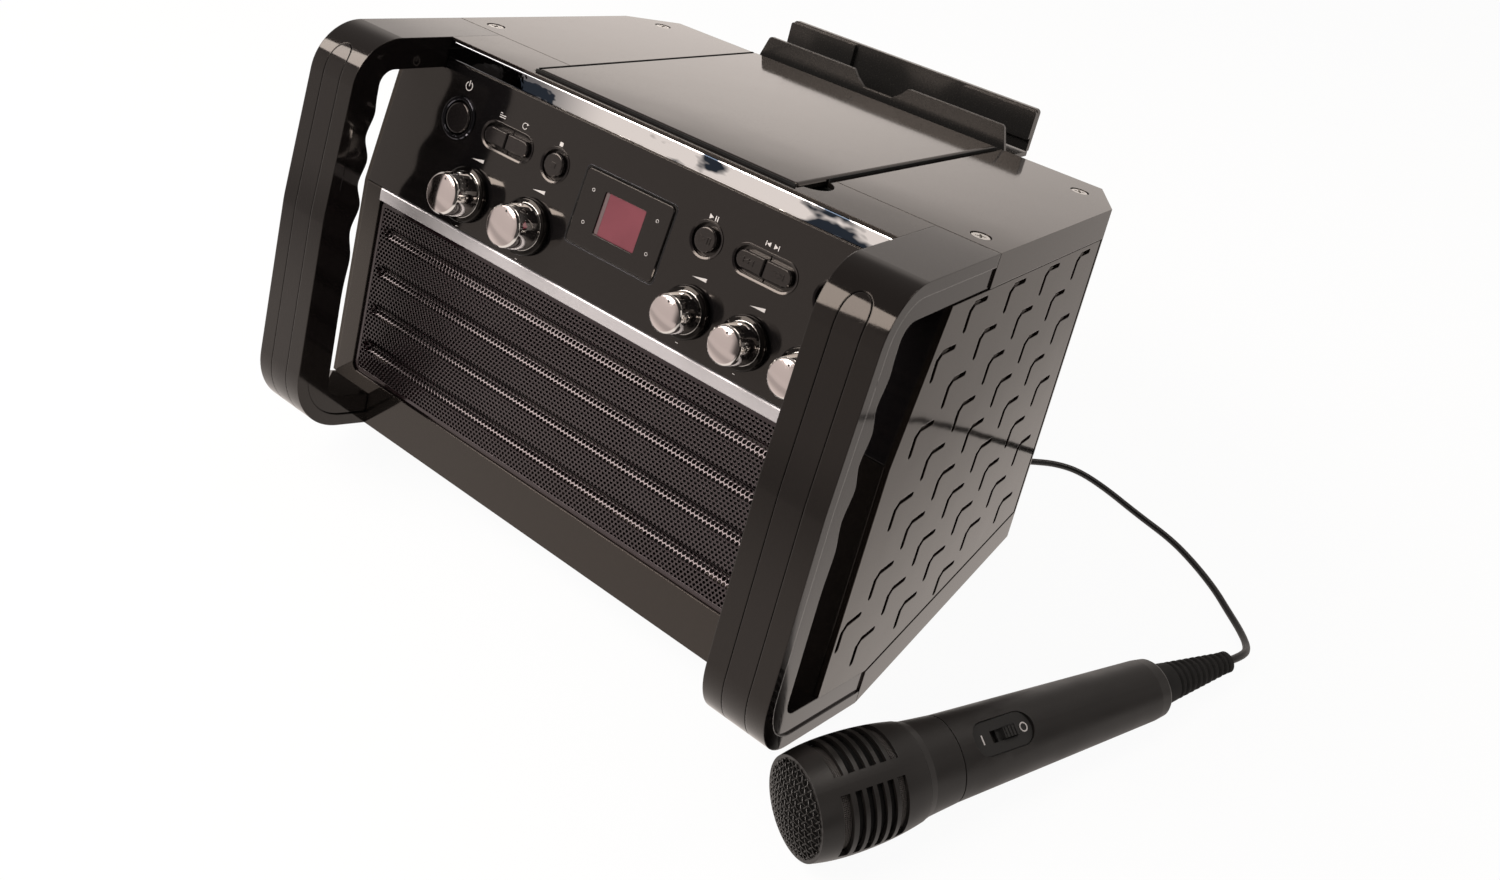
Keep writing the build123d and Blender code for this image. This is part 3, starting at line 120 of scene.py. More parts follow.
# %% A finished piece
def new_piece(name, mesh, body, place=None):
    """Put a finished mesh in the scene, at its place and on its body."""
    if place:
        mesh.transform(place)
    piece = bpy.data.objects.new(name, mesh)
    bpy.context.scene.collection.objects.link(piece)
    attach(piece, body)
    return piece

# %% [markdown]
# ## Finishes
# Each finish is named for the real material. Colours are written as sRGB hex values, as
# a paint chart gives them, and one function turns them into the linear values that the
# shader wants. One more function adds any node, whatever its kind, with its settings and
# links. A node given as an input means its first output.

# %% Colours and nodes
def linear(hex_colour):
    """sRGB hex to a linear RGBA colour."""
    parts = [int(hex_colour[i:i + 2], 16) / 255 for i in (1, 3, 5)]
    return [c / 12.92 if c <= 0.04045 else ((c + 0.055) / 1.055) ** 2.4 for c in parts] + [1.0]


def give(tree, value, socket):
    """Link a socket, or a node's first output, to an input, or set a plain value there."""
    if isinstance(value, bpy.types.Node):
        value = value.outputs[0]
    if isinstance(value, bpy.types.NodeSocket):
        tree.links.new(value, socket)
    else:
        socket.default_value = value


def add(tree, kind, inputs=(), **settings):
    """Add one node with its settings. Its inputs come by name, or as a list in their order."""
    made = tree.nodes.new(kind)
    for key, value in settings.items():
        setattr(made, key, value)
    for key, value in inputs.items() if isinstance(inputs, dict) else enumerate(inputs):
        give(tree, value, made.inputs[key])
    return made


MATH, MAP_RANGE = "ShaderNodeMath", "ShaderNodeMapRange"
print("half grey in linear light", round(linear("#808080")[0], 3))

# %% Finish helpers
def new_finish(name, colour, roughness, ior=1.5, metallic=0.0, sheen=None):
    """A material with its shader set from plain numbers. Returns it, its tree and shader."""
    finish = bpy.data.materials.new(name)
    finish.use_nodes = True
    tree = finish.node_tree
    shader = tree.nodes["Principled BSDF"]
    shader.inputs["Base Color"].default_value = linear(colour)
    shader.inputs["Roughness"].default_value = roughness
    shader.inputs["Metallic"].default_value = metallic
    if not metallic:
        shader.inputs["IOR"].default_value = ior
    if sheen:
        shader.inputs["Specular Tint"].default_value = linear(sheen)
    return finish, tree, shader


def per_metre(millimetres):
    """The scale at which a pattern in metres repeats about every so many millimetres."""
    return 1.0 / (millimetres * MM)


def relief(tree, shader, edge_mm, height=None, deep_mm=0.0, strength=1.0):
    """Round the sharp CAD edges, and raise a pattern on the faces where there is one."""
    normal = add(tree, "ShaderNodeBevel", {"Radius": edge_mm * MM}, samples=4)
    if height is not None:
        normal = add(tree, "ShaderNodeBump", {"Height": height, "Strength": strength,
                                              "Distance": deep_mm * MM, "Normal": normal})
    give(tree, normal, shader.inputs["Normal"])


print("a pattern of 1 mm has the scale", per_metre(1.0))

# %% [markdown]
# ### Piano-black ABS
# The shell is ABS moulded in a polished tool. It is almost a mirror, but the walls sink
# a little as they cool, so straight reflections come back wavy. Fine dust and wiping
# marks break the gloss here and there. The Bevel node rounds the sharp CAD edges by the
# half millimetre that a mould has.

# %% Piano-black ABS
def gloss_abs(name, colour, wave_mm, wave, roughness=0.07, edge_mm=0.5, ior=1.55, sheen="#fff4ec"):
    """Polished black ABS: slow moulding waves, dust in the gloss, rounded edges."""
    finish, tree, shader = new_finish(name, colour, roughness, ior, sheen=sheen)
    at = add(tree, "ShaderNodeTexCoord").outputs["Object"]
    slow = add(tree, "ShaderNodeTexNoise", {"Vector": at, "Scale": per_metre(wave_mm), "Detail": 1.0})
    relief(tree, shader, edge_mm, slow, wave)
    dust = add(tree, "ShaderNodeTexNoise", {"Vector": at, "Scale": per_metre(1.1), "Detail": 4.0,
                                            "Roughness": 0.7})
    wiped = add(tree, MAP_RANGE, {"Value": dust, "From Min": 0.55, "From Max": 0.8, "To Min": roughness,
                                  "To Max": roughness + 0.16})
    give(tree, wiped, shader.inputs["Roughness"])
    return finish


shell_black = gloss_abs("piano_black_abs_shell", "#12100f", 42, 0.05, sheen="#fff1e6")
side_black = gloss_abs("piano_black_abs_side", "#14110f", 26, 0.09, sheen="#fdeedf")
handle_black = gloss_abs("piano_black_abs_handle", "#0f0d0d", 55, 0.06, edge_mm=0.7, sheen="#ccc3bc")
panel_black = gloss_abs("lacquered_abs_panel", "#0d0c0d", 60, 0.03, roughness=0.08)
inlay_black = gloss_abs("polished_abs_inlay", "#121010", 50, 0.04, sheen="#c6bdb7")
cradle_black = gloss_abs("satin_abs_cradle", "#1a1a1a", 30, 0.03, roughness=0.24)
key_black = gloss_abs("gloss_abs_key", "#161415", 18, 0.02, roughness=0.14, edge_mm=0.4)
skirt_black = gloss_abs("gloss_abs_skirt", "#070606", 20, 0.02, roughness=0.06, edge_mm=0.3, ior=1.3)
print("nodes of the shell's finish", len(shell_black.node_tree.nodes))

# %% [markdown]
# ### Chrome
# The strip over the panel and the knob caps are ABS plated with bright chrome. Plated
# film over plastic is never flat, so a reflected edge in the strip breaks up into a
# ragged line. No bump is wild enough for that, so painted reflections stand in: the strip's
# colour carries a few torn dark patches from a noise drawn out along it, and a painted dark
# reflection grows towards its ends. The knob faces are satin chrome, the ring round the power key is dark.

# %% Chrome and satin silver
def chrome(name, colour, roughness, wave_mm=None, wave=0.0):
    """Plated plastic, with the waves of its film where it is told of them."""
    finish, tree, shader = new_finish(name, colour, roughness, metallic=1.0)
    film = None
    if wave_mm:
        at = add(tree, "ShaderNodeTexCoord").outputs["Object"]
        film = add(tree, "ShaderNodeTexNoise", {"Vector": at, "Scale": per_metre(wave_mm), "Detail": 3.0,
                                                "Roughness": 0.55})
    relief(tree, shader, 0.3, film, wave)
    return finish


strip_chrome = chrome("bright_chrome_strip", "#fcfafa", 0.05, wave_mm=13, wave=0.28)
cap_chrome = chrome("bright_chrome_cap", "#e2dfdc", 0.05)
face_chrome = chrome("satin_chrome_face", "#dacfcd", 0.13)
dark_chrome = chrome("dark_chrome_ring", "#56565c", 0.16)
screw_chrome = chrome("bright_zinc_screw", "#c9c6c2", 0.22)
steel = chrome("ground_steel", "#9a9a9c", 0.3)
print("nodes of the strip's finish", len(strip_chrome.node_tree.nodes))

# %% Painted torn reflections in the strip
tree = strip_chrome.node_tree
at = add(tree, "ShaderNodeTexCoord").outputs["Object"]
drawn = add(tree, "ShaderNodeMapping", {"Vector": at, "Scale": (0.4, 1.0, 1.0),
                                        "Location": (0.031, 0.0, 0.0)})
painted_torn_reflection = add(tree, "ShaderNodeTexNoise", {"Vector": drawn, "Scale": per_metre(24.0), "Detail": 4.0,
                                        "Roughness": 0.55})
painted_torn_reflection = add(tree, MAP_RANGE, {"Value": painted_torn_reflection, "From Min": 0.57, "From Max": 0.62})

# Both ends of the strip mirror the dark room, so a painted dark reflection darkens its colour there.
along = add(tree, "ShaderNodeSeparateXYZ", {"Vector": at})
ends = add(tree, MATH, [along], operation="ABSOLUTE")
ends = add(tree, MAP_RANGE, {"Value": ends, "From Min": 0.092, "From Max": 0.15, "To Max": 0.85},
           interpolation_type="SMOOTHSTEP")
painted_torn_reflection = add(tree, MATH, [painted_torn_reflection, ends], operation="MAXIMUM")
# The base colour goes from near-white to dark blue by this mask: painted reflections.
painted_reflection_tone = add(tree, "ShaderNodeMix", {"Factor": painted_torn_reflection, "A": linear("#fcfafa"), "B": linear("#2c343f")},
           data_type="RGBA")
give(tree, painted_reflection_tone.outputs["Result"], tree.nodes["Principled BSDF"].inputs["Base Color"])
print("nodes of the strip's finish", len(tree.nodes))

# %% [markdown]
# ### Silver lacquer
# The silver strip is plastic with a silver lacquer over a brushed face. Its hairlines run
# along it and are too fine to model, so they are a bump from a noise that is drawn out
# along the strip. It spreads each highlight across the lines.

# %% Silver lacquer
strip_silver, tree, shader = new_finish("brushed_silver_strip", "#c9c7cb", 0.34, metallic=0.55)
at = add(tree, "ShaderNodeTexCoord").outputs["Object"]
along = add(tree, "ShaderNodeMapping", {"Vector": at, "Scale": (0.03, 1.0, 1.0)})
hair = add(tree, "ShaderNodeTexNoise", {"Vector": along, "Detail": 2.0, "Scale": per_metre(0.35)})
relief(tree, shader, 0.3, hair, 0.02, strength=0.5)
print("nodes of the silver strip's finish", len(tree.nodes))

# %% [markdown]
# ### Matte and rubbery finishes
# The microphone is ABS with a soft, rubbery paint, so its light is broad and dull, with a
# fine grain. The feet are rubber, the loudspeaker cones pressed paper, and the cord is
# PVC, a little shinier where it bends.

# %% Matte finishes
def grained(name, colour, roughness, grain_mm, grain, ior=1.5, sheen=None):
    """A matte skin: fine grain in the surface and a slight unevenness in its gloss."""
    finish, tree, shader = new_finish(name, colour, roughness, ior, sheen=sheen)
    at = add(tree, "ShaderNodeTexCoord").outputs["Object"]
    grit = add(tree, "ShaderNodeTexNoise", {"Vector": at, "Scale": per_metre(grain_mm), "Detail": 2.0})
    relief(tree, shader, 0.25, grit, grain, strength=0.6)
    cloud = add(tree, "ShaderNodeTexNoise", {"Vector": at, "Scale": per_metre(17.0), "Detail": 3.0})
    uneven = add(tree, MAP_RANGE, {"Value": cloud, "From Min": 0.3, "From Max": 0.7,
                                   "To Min": roughness * 0.875, "To Max": min(1.0, roughness * 1.125)})
    give(tree, uneven, shader.inputs["Roughness"])
    return finish


mic_paint = grained("soft_touch_paint", "#1b1918", 0.4, 0.35, 0.02)
mic_wire_paint = grained("black_plated_wire", "#1a1817", 0.26, 0.3, 0.01)
sheet_paint = grained("black_nickel_sheet", "#150c0f", 0.14, 0.3, 0.002, ior=1.7, sheen="#f8ebef")
matte_abs = grained("textured_abs", "#1c1c1c", 0.55, 0.4, 0.04)
rubber = grained("moulded_rubber", "#141414", 0.8, 0.5, 0.04)
cone_paper = grained("pressed_paper", "#171717", 0.9, 0.8, 0.08)
foam_black = grained("acoustic_foam", "#0b0b0b", 0.95, 0.6, 0.2)
pvc = grained("pvc_sheath", "#1b1b1c", 0.36, 0.5, 0.01)
board_green = grained("solder_mask", "#123a1d", 0.3, 1.2, 0.01)
silk_white = grained("silk_screen_ink", "#c4c1c1", 0.5, 0.3, 0.005)
dimple_black = grained("unplated_dimple", "#1a1716", 0.5, 0.3, 0.01)
# A grey for the side of the red window's block: painted highlight where its thickness catches the light.
painted_edge_highlight = grained("painted_lit_acrylic_edge", "#5b4c4e", 0.4, 0.5, 0.01)
print("nodes of the microphone's finish", len(mic_paint.node_tree.nodes))

# %% [markdown]
# ### Fine wire sleeve
# The wires stand 0.8 mm apart, which is about two pixels of the render, so they are drawn:
# two sets of stripes from the sleeve's own map, bright on the wires and black between.

# %% Fine wire sleeve
sleeve_wire, tree, shader = new_finish("fine_wire_cloth", "#2c2929", 0.35)
WIRE_PITCH = 0.82
on_sleeve = add(tree, "ShaderNodeUVMap", uv_map="millimetres")
on_sleeve = add(tree, "ShaderNodeSeparateXYZ", {"Vector": on_sleeve}).outputs
stripes = []
for axis in ("X", "Y"):
    wave = add(tree, MATH, [on_sleeve[axis], 2 * math.pi / WIRE_PITCH], operation="MULTIPLY")
    stripes.append(add(tree, MATH, [wave], operation="COSINE"))
wire_height = add(tree, MATH, stripes, operation="MAXIMUM")
on_wire = add(tree, MAP_RANGE, {"Value": wire_height, "From Min": -0.1, "From Max": 0.6})
weave = add(tree, "ShaderNodeMix", {"Factor": on_wire, "A": linear("#050505"), "B": linear("#4c4846")},
            data_type="RGBA")
bump = add(tree, "ShaderNodeBump", {"Height": wire_height, "Strength": 1.0, "Distance": 0.12 * MM})
give(tree, weave.outputs["Result"], shader.inputs["Base Color"])
give(tree, bump, shader.inputs["Normal"])
print("wires stand", WIRE_PITCH, "mm apart")

# %% [markdown]
# ### Clear red window
# The display sits behind a block of red acrylic. Unlit, it shows a flat dusky red, with a
# brighter rim where the block catches the light, which a strip of painted highlight further on gives.

# %% Red acrylic
window_red, tree, shader = new_finish("red_acrylic_window", "#7c3d46", 0.12, ior=1.49)
relief(tree, shader, 0.4)
at = add(tree, "ShaderNodeTexCoord").outputs["Object"]
haze = add(tree, "ShaderNodeTexNoise", {"Vector": at, "Scale": per_metre(20.0)})
dusk = add(tree, "ShaderNodeMix", {"Factor": haze, "A": linear("#63303a"), "B": linear("#773d47")},
           data_type="RGBA")
give(tree, dusk.outputs["Result"], shader.inputs["Base Color"])
print("nodes of the window's finish", len(tree.nodes))

# %% [markdown]
# ## Finishes on the CAD parts
# A CAD part whose shape is right stays as it is and only changes its material.

# %% Give each CAD part its finish
FINISHES = {
    shell_black: ["front_cabinet", "rear_cabinet", "disc_door"],
    side_black: ["side_panel_right", "side_panel_left"],
    handle_black: ["handle_wrap_right", "handle_wrap_left", "handle_core_right", "handle_core_left"],
    inlay_black: ["handle_inlay_right", "handle_inlay_left"],
    panel_black: ["control_panel", "display_bezel"],
    key_black: [n for n in nodes if n.startswith("button_")],
    cradle_black: ["cradle_bracket", "cradle_rest"],
    strip_chrome: ["trim_strip"],
    strip_silver: ["silver_strip"],
    dark_chrome: ["power_ring"],
    screw_chrome: ["top_screws"],
    steel: ["door_pins", "cradle_pins", "lead_screw"],
    window_red: ["display_lens"],
    matte_abs: ["disc_deck", "spindle", "motor_bracket", "laser_sled", "rear_sockets",
                "speaker_frame_left", "speaker_frame_right", "mic_switch", "mic_switch_plate"],
    cone_paper: ["speaker_cone_left", "speaker_cone_right"],
    foam_black: ["mic_capsule"],
    rubber: ["feet", "mic_relief", "mic_plug"],
    board_green: ["control_board"],
    mic_paint: ["mic_grip", "mic_neck", "mic_head"],
}
for finish, names in FINISHES.items():
    for name in names:
        nodes[name].data.materials.clear()
        nodes[name].data.materials.append(finish)
print("CAD parts with a finish", sum(len(names) for names in FINISHES.values()))

# %% [markdown]
# ## The microphone's cord
# The cord is 4 mm of round PVC. It leaves the rubber relief at the microphone's tail,
# runs back along the floor, and goes round behind the machine. The length that isn't
# needed is wound there into a neat coil, and its plug stands in the right-hand jack. One
# NURBS spline has the whole route as its control points, so it bends like real cable.

# %% Route of the cord
CORD_D = 4.0
MIC_TAIL, MIC_FRONT = Vector((282.9, 3.4, 14.9)), Vector((192.2, -188.0, 25.6))
RELIEF_LEN = 55.0
mic_axis = (MIC_FRONT - MIC_TAIL).normalized()
relief_end = MIC_TAIL - mic_axis * RELIEF_LEN
start = relief_end - mic_axis * 13.0
floor_run = [(311.5, 79.0, 6.6), (304.0, 93.0, 3.4), (293.5, 105.0, 2.2), (281.6, 117.4, 2.2),
             (264.9, 130.2, 2.2), (247.0, 140.7, 2.2), (223.1, 147.6, 2.2), (197.3, 156.9, 2.2),
             (177.6, 160.4, 2.2), (163.0, 155.6, 2.2), (151.3, 146.0, 2.2), (138.5, 134.6, 2.2),
             (122.5, 125.8, 2.2), (106.0, 121.6, 2.2)]
lead_run = [(77.5, 175.0, 14.2), (88.5, 180.8, 14.6), (100.5, 182.5, 17.8), (110.5, 177.5, 22.8),
            (116.4, 168.0, 28.2), (118.0, 156.57, 32.55), (118.0, 144.75, 34.63)]
print("points along the floor", len(floor_run), "and up to the jack", len(lead_run))

# %% [markdown]
# ### The put-away coil
# A cord that is too long for its place is wound up by hand. Each layer is wound in or out
# by one step a turn, then the cord climbs to the next layer. A curve drawn by eye would
# run into itself, so a rule gives the radius and the height at every angle.

# %% Turns of the put-away coil
COIL_X, COIL_Y = 88.0, 150.0
COIL_OUT, COIL_STEP, COIL_RISE = 28.3, 4.2, 4.1
TURN_POINTS, LAYER_TURN = 24, 1350
# The steps and climbs each have their own eighth of the circle, so that none meet.
EIGHTH = 45.0
moves = []
for layer in range(4):
    begun = EIGHTH + layer * LAYER_TURN
    step = COIL_STEP if layer % 2 else -COIL_STEP
    moves += [(begun + 270 + 360 * turn_no, step, 0.0) for turn_no in range(3)]
    moves.append((begun + LAYER_TURN - EIGHTH, 0.0, COIL_RISE))
LAST_TURN = 14 * 360 + 150


def share(angle, begin):
    """How far a move that begins at that angle has gone, from 0 to 1, eased."""
    t = min(1.0, max(0.0, (angle - begin) / EIGHTH))
    return t * t * (3 - 2 * t)


def coil_point(angle):
    """Where the cord is when it has gone that many degrees round the coil."""
    r = COIL_OUT + sum(dr * share(angle, at) for at, dr, dz in moves)
    z = 2.2 + sum(dz * share(angle, at) for at, dr, dz in moves)
    way = math.radians(-90.0 - angle)
    return (COIL_X + r * math.cos(way), COIL_Y + r * math.sin(way), z)


coil_run = [coil_point(i * 360 / TURN_POINTS) for i in range(int(LAST_TURN * TURN_POINTS / 360) + 1)]
print("coil turns", LAST_TURN / 360, "moves", [round(m[0]) for m in moves])

# %% Make the cord
route = [tuple(relief_end), tuple(start)] + floor_run + coil_run + lead_run
line = bpy.data.curves.new("mic_cord_line", "CURVE")
line.dimensions = "3D"
spline = line.splines.new("NURBS")
spline.points.add(len(route) - 1)
for point, at in zip(spline.points, route):
    point.co = (*table(*at), 1.0)
spline.order_u = 3
spline.use_endpoint_u = True
spline.resolution_u = 6
line.bevel_depth = CORD_D / 2 * MM
line.bevel_resolution = 4
line.use_fill_caps = True
line.materials.append(pvc)
mic_cord = bpy.data.objects.new("mic_cord_line", line)
bpy.context.scene.collection.objects.link(mic_cord)
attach(mic_cord, CABINET)
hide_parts("mic_cord", "mic_cord_coil", "mic_cord_lead")
print("points of the cord's route", len(route))

# %% [markdown]
# ## The punched speaker sheet
# The speakers sit behind a steel sheet with thousands of small holes, and four long
# channels are pressed into it. Modelling each hole by hand is hopeless and a picture of
# holes stays flat, so Geometry Nodes repeat one six-sided tile with a hole in it. The
# tiles share their edges, so after a merge they are one sheet, and moving its points back
# by a rule presses the channels.

# %% Geometry Nodes helpers
def new_tree(name, inputs):
    """An empty Geometry Nodes tree with one material and some named numbers to set."""
    tree = bpy.data.node_groups.new(name, "GeometryNodeTree")
    tree.interface.new_socket(name="Material", in_out="INPUT", socket_type="NodeSocketMaterial")
    for label in inputs:
        tree.interface.new_socket(name=label, in_out="INPUT", socket_type="NodeSocketFloat")
    tree.interface.new_socket(name="Geometry", in_out="OUTPUT", socket_type="NodeSocketGeometry")
    return tree, add(tree, "NodeGroupInput").outputs


def end_tree(tree, geometry, paint):
    """Make instances real, give them their material and hand them out."""
    real = add(tree, "GeometryNodeRealizeInstances", {"Geometry": geometry})
    painted = add(tree, "GeometryNodeSetMaterial", {"Geometry": real, "Material": paint})
    add(tree, "NodeGroupOutput", {"Geometry": painted})


def run_tree(tree, finish, sizes):
    """Run a tree once with its sizes set and return the plain mesh it makes."""
    holder = bpy.data.objects.new("holder", bpy.data.meshes.new("holder"))
    bpy.context.scene.collection.objects.link(holder)
    modifier = holder.modifiers.new("nodes", "NODES")
    modifier.node_group = tree
    for item in tree.interface.items_tree:
        if item.in_out == "INPUT":
            modifier[item.identifier] = finish if item.name == "Material" else float(sizes[item.name])
    made = holder.evaluated_get(bpy.context.evaluated_depsgraph_get())
    mesh = bpy.data.meshes.new_from_object(made)
    holder.modifiers.clear()
    bpy.data.objects.remove(holder)
    return mesh

# %% Tree of the punched sheet: where its holes stand
tree, want = new_tree("punched_sheet", ["Columns", "Rows", "Pitch", "Hole", "Thick", "Half length",
                                        "Half height", "Corner", "Channel top", "Channel pitch",
                                        "Channel count", "Channel half", "Channel deep"])
row_pitch = add(tree, MATH, [want["Pitch"], math.sqrt(3) / 2], operation="MULTIPLY")
across_all = add(tree, MATH, [want["Columns"], 1.0], operation="SUBTRACT")
across_all = add(tree, MATH, [across_all, want["Pitch"]], operation="MULTIPLY")
up_all = add(tree, MATH, [want["Rows"], 1.0], operation="SUBTRACT")
up_all = add(tree, MATH, [up_all, row_pitch], operation="MULTIPLY")
grid = add(tree, "GeometryNodeMeshGrid", {"Size X": across_all, "Size Y": up_all,
                                          "Vertices X": want["Columns"], "Vertices Y": want["Rows"]})
place = add(tree, "ShaderNodeSeparateXYZ", [add(tree, "GeometryNodeInputPosition")]).outputs

# Odd rows go a quarter of a pitch to the right, and even ones as far to the left.
lowest = add(tree, MATH, [up_all, 0.5], operation="MULTIPLY")
height = add(tree, MATH, [place["Y"], lowest], operation="ADD")
row = add(tree, MATH, [height, row_pitch], operation="DIVIDE")
row = add(tree, MATH, [row], operation="ROUND")
odd = add(tree, MATH, [row, 2.0], operation="MODULO")
side = add(tree, MATH, [odd, 0.5], operation="SUBTRACT")
half_pitch = add(tree, MATH, [want["Pitch"], 0.5], operation="MULTIPLY")
side = add(tree, MATH, [side, half_pitch], operation="MULTIPLY")
shift = add(tree, "ShaderNodeCombineXYZ", {"X": side})
spots = add(tree, "GeometryNodeSetPosition", {"Geometry": grid, "Offset": shift})

# Round corners: how far a spot is past the middle of its corner's circle, both ways.
over = []
for axis, half in (("X", "Half length"), ("Y", "Half height")):
    past = add(tree, MATH, [place[axis]], operation="ABSOLUTE")
    past = add(tree, MATH, [past, want[half]], operation="SUBTRACT")
    past = add(tree, MATH, [past, want["Corner"]], operation="ADD")
    past = add(tree, MATH, [past, 0.0], operation="MAXIMUM")
    over.append(add(tree, MATH, [past, past], operation="MULTIPLY"))
beyond = add(tree, MATH, over, operation="ADD")
beyond = add(tree, MATH, [beyond], operation="SQRT")
outside = add(tree, MATH, [beyond, want["Corner"]], operation="GREATER_THAN")
kept = add(tree, "GeometryNodeDeleteGeometry", {"Geometry": spots, "Selection": outside})
print("nodes for the spots", len(tree.nodes))

# %% Tree of the punched sheet: one tile, laid at every spot
# The rim of the hole is spread out to the tile's edge, and the hole's wall goes in behind.
rim = add(tree, "GeometryNodeMeshCircle", {"Vertices": 6, "Radius": want["Hole"]})
spread = add(tree, "GeometryNodeExtrudeMesh", {"Mesh": rim, "Offset Scale": 0.0}, mode="EDGES")
wider = add(tree, MATH, [want["Pitch"], math.sqrt(3)], operation="DIVIDE")
wider = add(tree, MATH, [wider, want["Hole"]], operation="DIVIDE")
outer = add(tree, "ShaderNodeVectorMath", {0: add(tree, "GeometryNodeInputPosition"), "Scale": wider},
            operation="SCALE")
flat = add(tree, "GeometryNodeSetPosition", {"Geometry": spread, "Selection": spread.outputs["Top"],
                                             "Position": outer})
back = add(tree, "ShaderNodeCombineXYZ", {"Z": -1.0})
sunk = add(tree, "GeometryNodeExtrudeMesh", {"Mesh": rim, "Offset": back, "Offset Scale": want["Thick"]},
           mode="EDGES")
tile = add(tree, "GeometryNodeJoinGeometry")
for part in (flat, sunk):
    give(tree, part, tile.inputs[0])
tile = add(tree, "GeometryNodeTransform", {"Geometry": tile, "Rotation": (0, 0, math.radians(30))})
tiles = add(tree, "GeometryNodeInstanceOnPoints", {"Points": kept, "Instance": tile})
laid = add(tree, "GeometryNodeRealizeInstances", {"Geometry": tiles})
laid = add(tree, "GeometryNodeMergeByDistance", {"Geometry": laid, "Distance": 0.02})
print("nodes with the tile", len(tree.nodes))

# %% Tree of the punched sheet: its pressed channels
# What counts is how far a point is from the middle line of the nearest channel.
CHANNEL_FLAT, CHANNEL_EDGE = 0.9, 4.4
place = add(tree, "ShaderNodeSeparateXYZ", [add(tree, "GeometryNodeInputPosition")]).outputs
fall = add(tree, MATH, [want["Channel top"], place["Y"]], operation="SUBTRACT")
nearest = add(tree, MATH, [fall, want["Channel pitch"]], operation="DIVIDE")
nearest = add(tree, MATH, [nearest], operation="ROUND")
nearest = add(tree, MATH, [nearest, 0.0], operation="MAXIMUM")
last = add(tree, MATH, [want["Channel count"], 1.0], operation="SUBTRACT")
nearest = add(tree, MATH, [nearest, last], operation="MINIMUM")
its_fall = add(tree, MATH, [nearest, want["Channel pitch"]], operation="MULTIPLY")
off_y = add(tree, MATH, [fall, its_fall], operation="SUBTRACT")
off_x = add(tree, MATH, [place["X"]], operation="ABSOLUTE")
off_x = add(tree, MATH, [off_x, want["Channel half"]], operation="SUBTRACT")
off_x = add(tree, MATH, [off_x, 0.0], operation="MAXIMUM")
squares = [add(tree, MATH, [v, v], operation="MULTIPLY") for v in (off_x, off_y)]
off = add(tree, MATH, squares, operation="ADD")
off = add(tree, MATH, [off], operation="SQRT")
floor_z = add(tree, MATH, [want["Channel deep"], -1.0], operation="MULTIPLY")
sink = add(tree, MAP_RANGE, {"Value": off, "From Min": CHANNEL_FLAT, "From Max": CHANNEL_EDGE,
                             "To Min": floor_z, "To Max": 0.0})
down = add(tree, "ShaderNodeCombineXYZ", {"Z": sink})
pressed = add(tree, "GeometryNodeSetPosition", {"Geometry": laid, "Offset": down})
end_tree(tree, pressed, want["Material"])
print("nodes of the whole tree", len(tree.nodes))

# %% Make the punched sheet
SHEET_Y, SHEET_Z = 52.8, 89.45
SHEET_HALF_L, SHEET_HALF_H, SHEET_R = 156.9, 51.95, 4.7
HOLE_PITCH, BORDER, CHANNEL_TOP = 2.45, 1.3, 125.4
ROW_PITCH = HOLE_PITCH * math.sqrt(3) / 2
sheet_frame = face_frame(seated(0, SHEET_Y, SHEET_Z), ACROSS, CABINET_UP)
sheet = run_tree(tree, sheet_paint, {
    "Columns": 2 * SHEET_HALF_L // HOLE_PITCH + 1, "Rows": 2 * SHEET_HALF_H // ROW_PITCH + 1,
    "Pitch": HOLE_PITCH, "Hole": 0.86, "Thick": 0.7, "Half length": SHEET_HALF_L - BORDER,
    "Half height": SHEET_HALF_H - BORDER, "Corner": SHEET_R - BORDER, "Channel top": CHANNEL_TOP - SHEET_Z,
    "Channel pitch": 23.5, "Channel count": 4, "Channel half": 147.0, "Channel deep": 2.9})
speaker_sheet = new_piece("speaker_sheet", sheet, CABINET, sheet_frame)
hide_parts("grille")
print("sheet faces", len(sheet.polygons), "corners", len(sheet.vertices))

# %% [markdown]
# ### Edge of the sheet
# A punched sheet has a plain rim, turned back to stiffen it. It is one round-cornered ring,
# so plain lists of points and faces are enough for it, and Geometry Nodes would say no
# more. The same helpers make the rims of the keys further on.

# %% Outlines and plain meshes
def rounded(half_x, half_y, r, steps=6):
    """Corner points of a round-cornered rectangle, counter-clockwise."""
    out = []
    for quarter, (sx, sy) in enumerate(((1, 1), (-1, 1), (-1, -1), (1, -1))):
        for i in range(steps + 1):
            a = math.radians(90 * (quarter + i / steps))
            out.append((sx * (half_x - r) + r * math.cos(a), sy * (half_y - r) + r * math.sin(a)))
    return out


def mesh_of(name, points, faces, finish):
    """A plain mesh in one finish."""
    mesh = bpy.data.meshes.new(name)
    mesh.from_pydata(points, [], faces)
    mesh.materials.append(finish)
    return mesh


def band(count, first=0):
    """The faces between a ring of points and the next ring, of as many points."""
    return [(first + i, first + (i + 1) % count, first + count + (i + 1) % count, first + count + i)
            for i in range(count)]


def ring_mesh(name, outlines, finish):
    """Join closed outlines (points, height) of equal count, one to the next, with faces."""
    count = len(outlines[0][0])
    points = [(x, y, height) for outline, height in outlines for x, y in outline]
    faces = [face for k in range(len(outlines) - 1) for face in band(count, k * count)]
    return mesh_of(name, points, faces, finish)

# %% Plain edge round the sheet
wide = rounded(SHEET_HALF_L, SHEET_HALF_H, SHEET_R)
narrow = rounded(SHEET_HALF_L - 2 * BORDER, SHEET_HALF_H - 2 * BORDER, SHEET_R - 2 * BORDER)
edge_mesh = ring_mesh("sheet_edge", [(wide, -1.0), (wide, 0.08), (narrow, 0.08), (narrow, -0.3)], sheet_paint)
new_piece("speaker_sheet_edge", edge_mesh, CABINET, sheet_frame)
print("edge faces", len(edge_mesh.polygons))

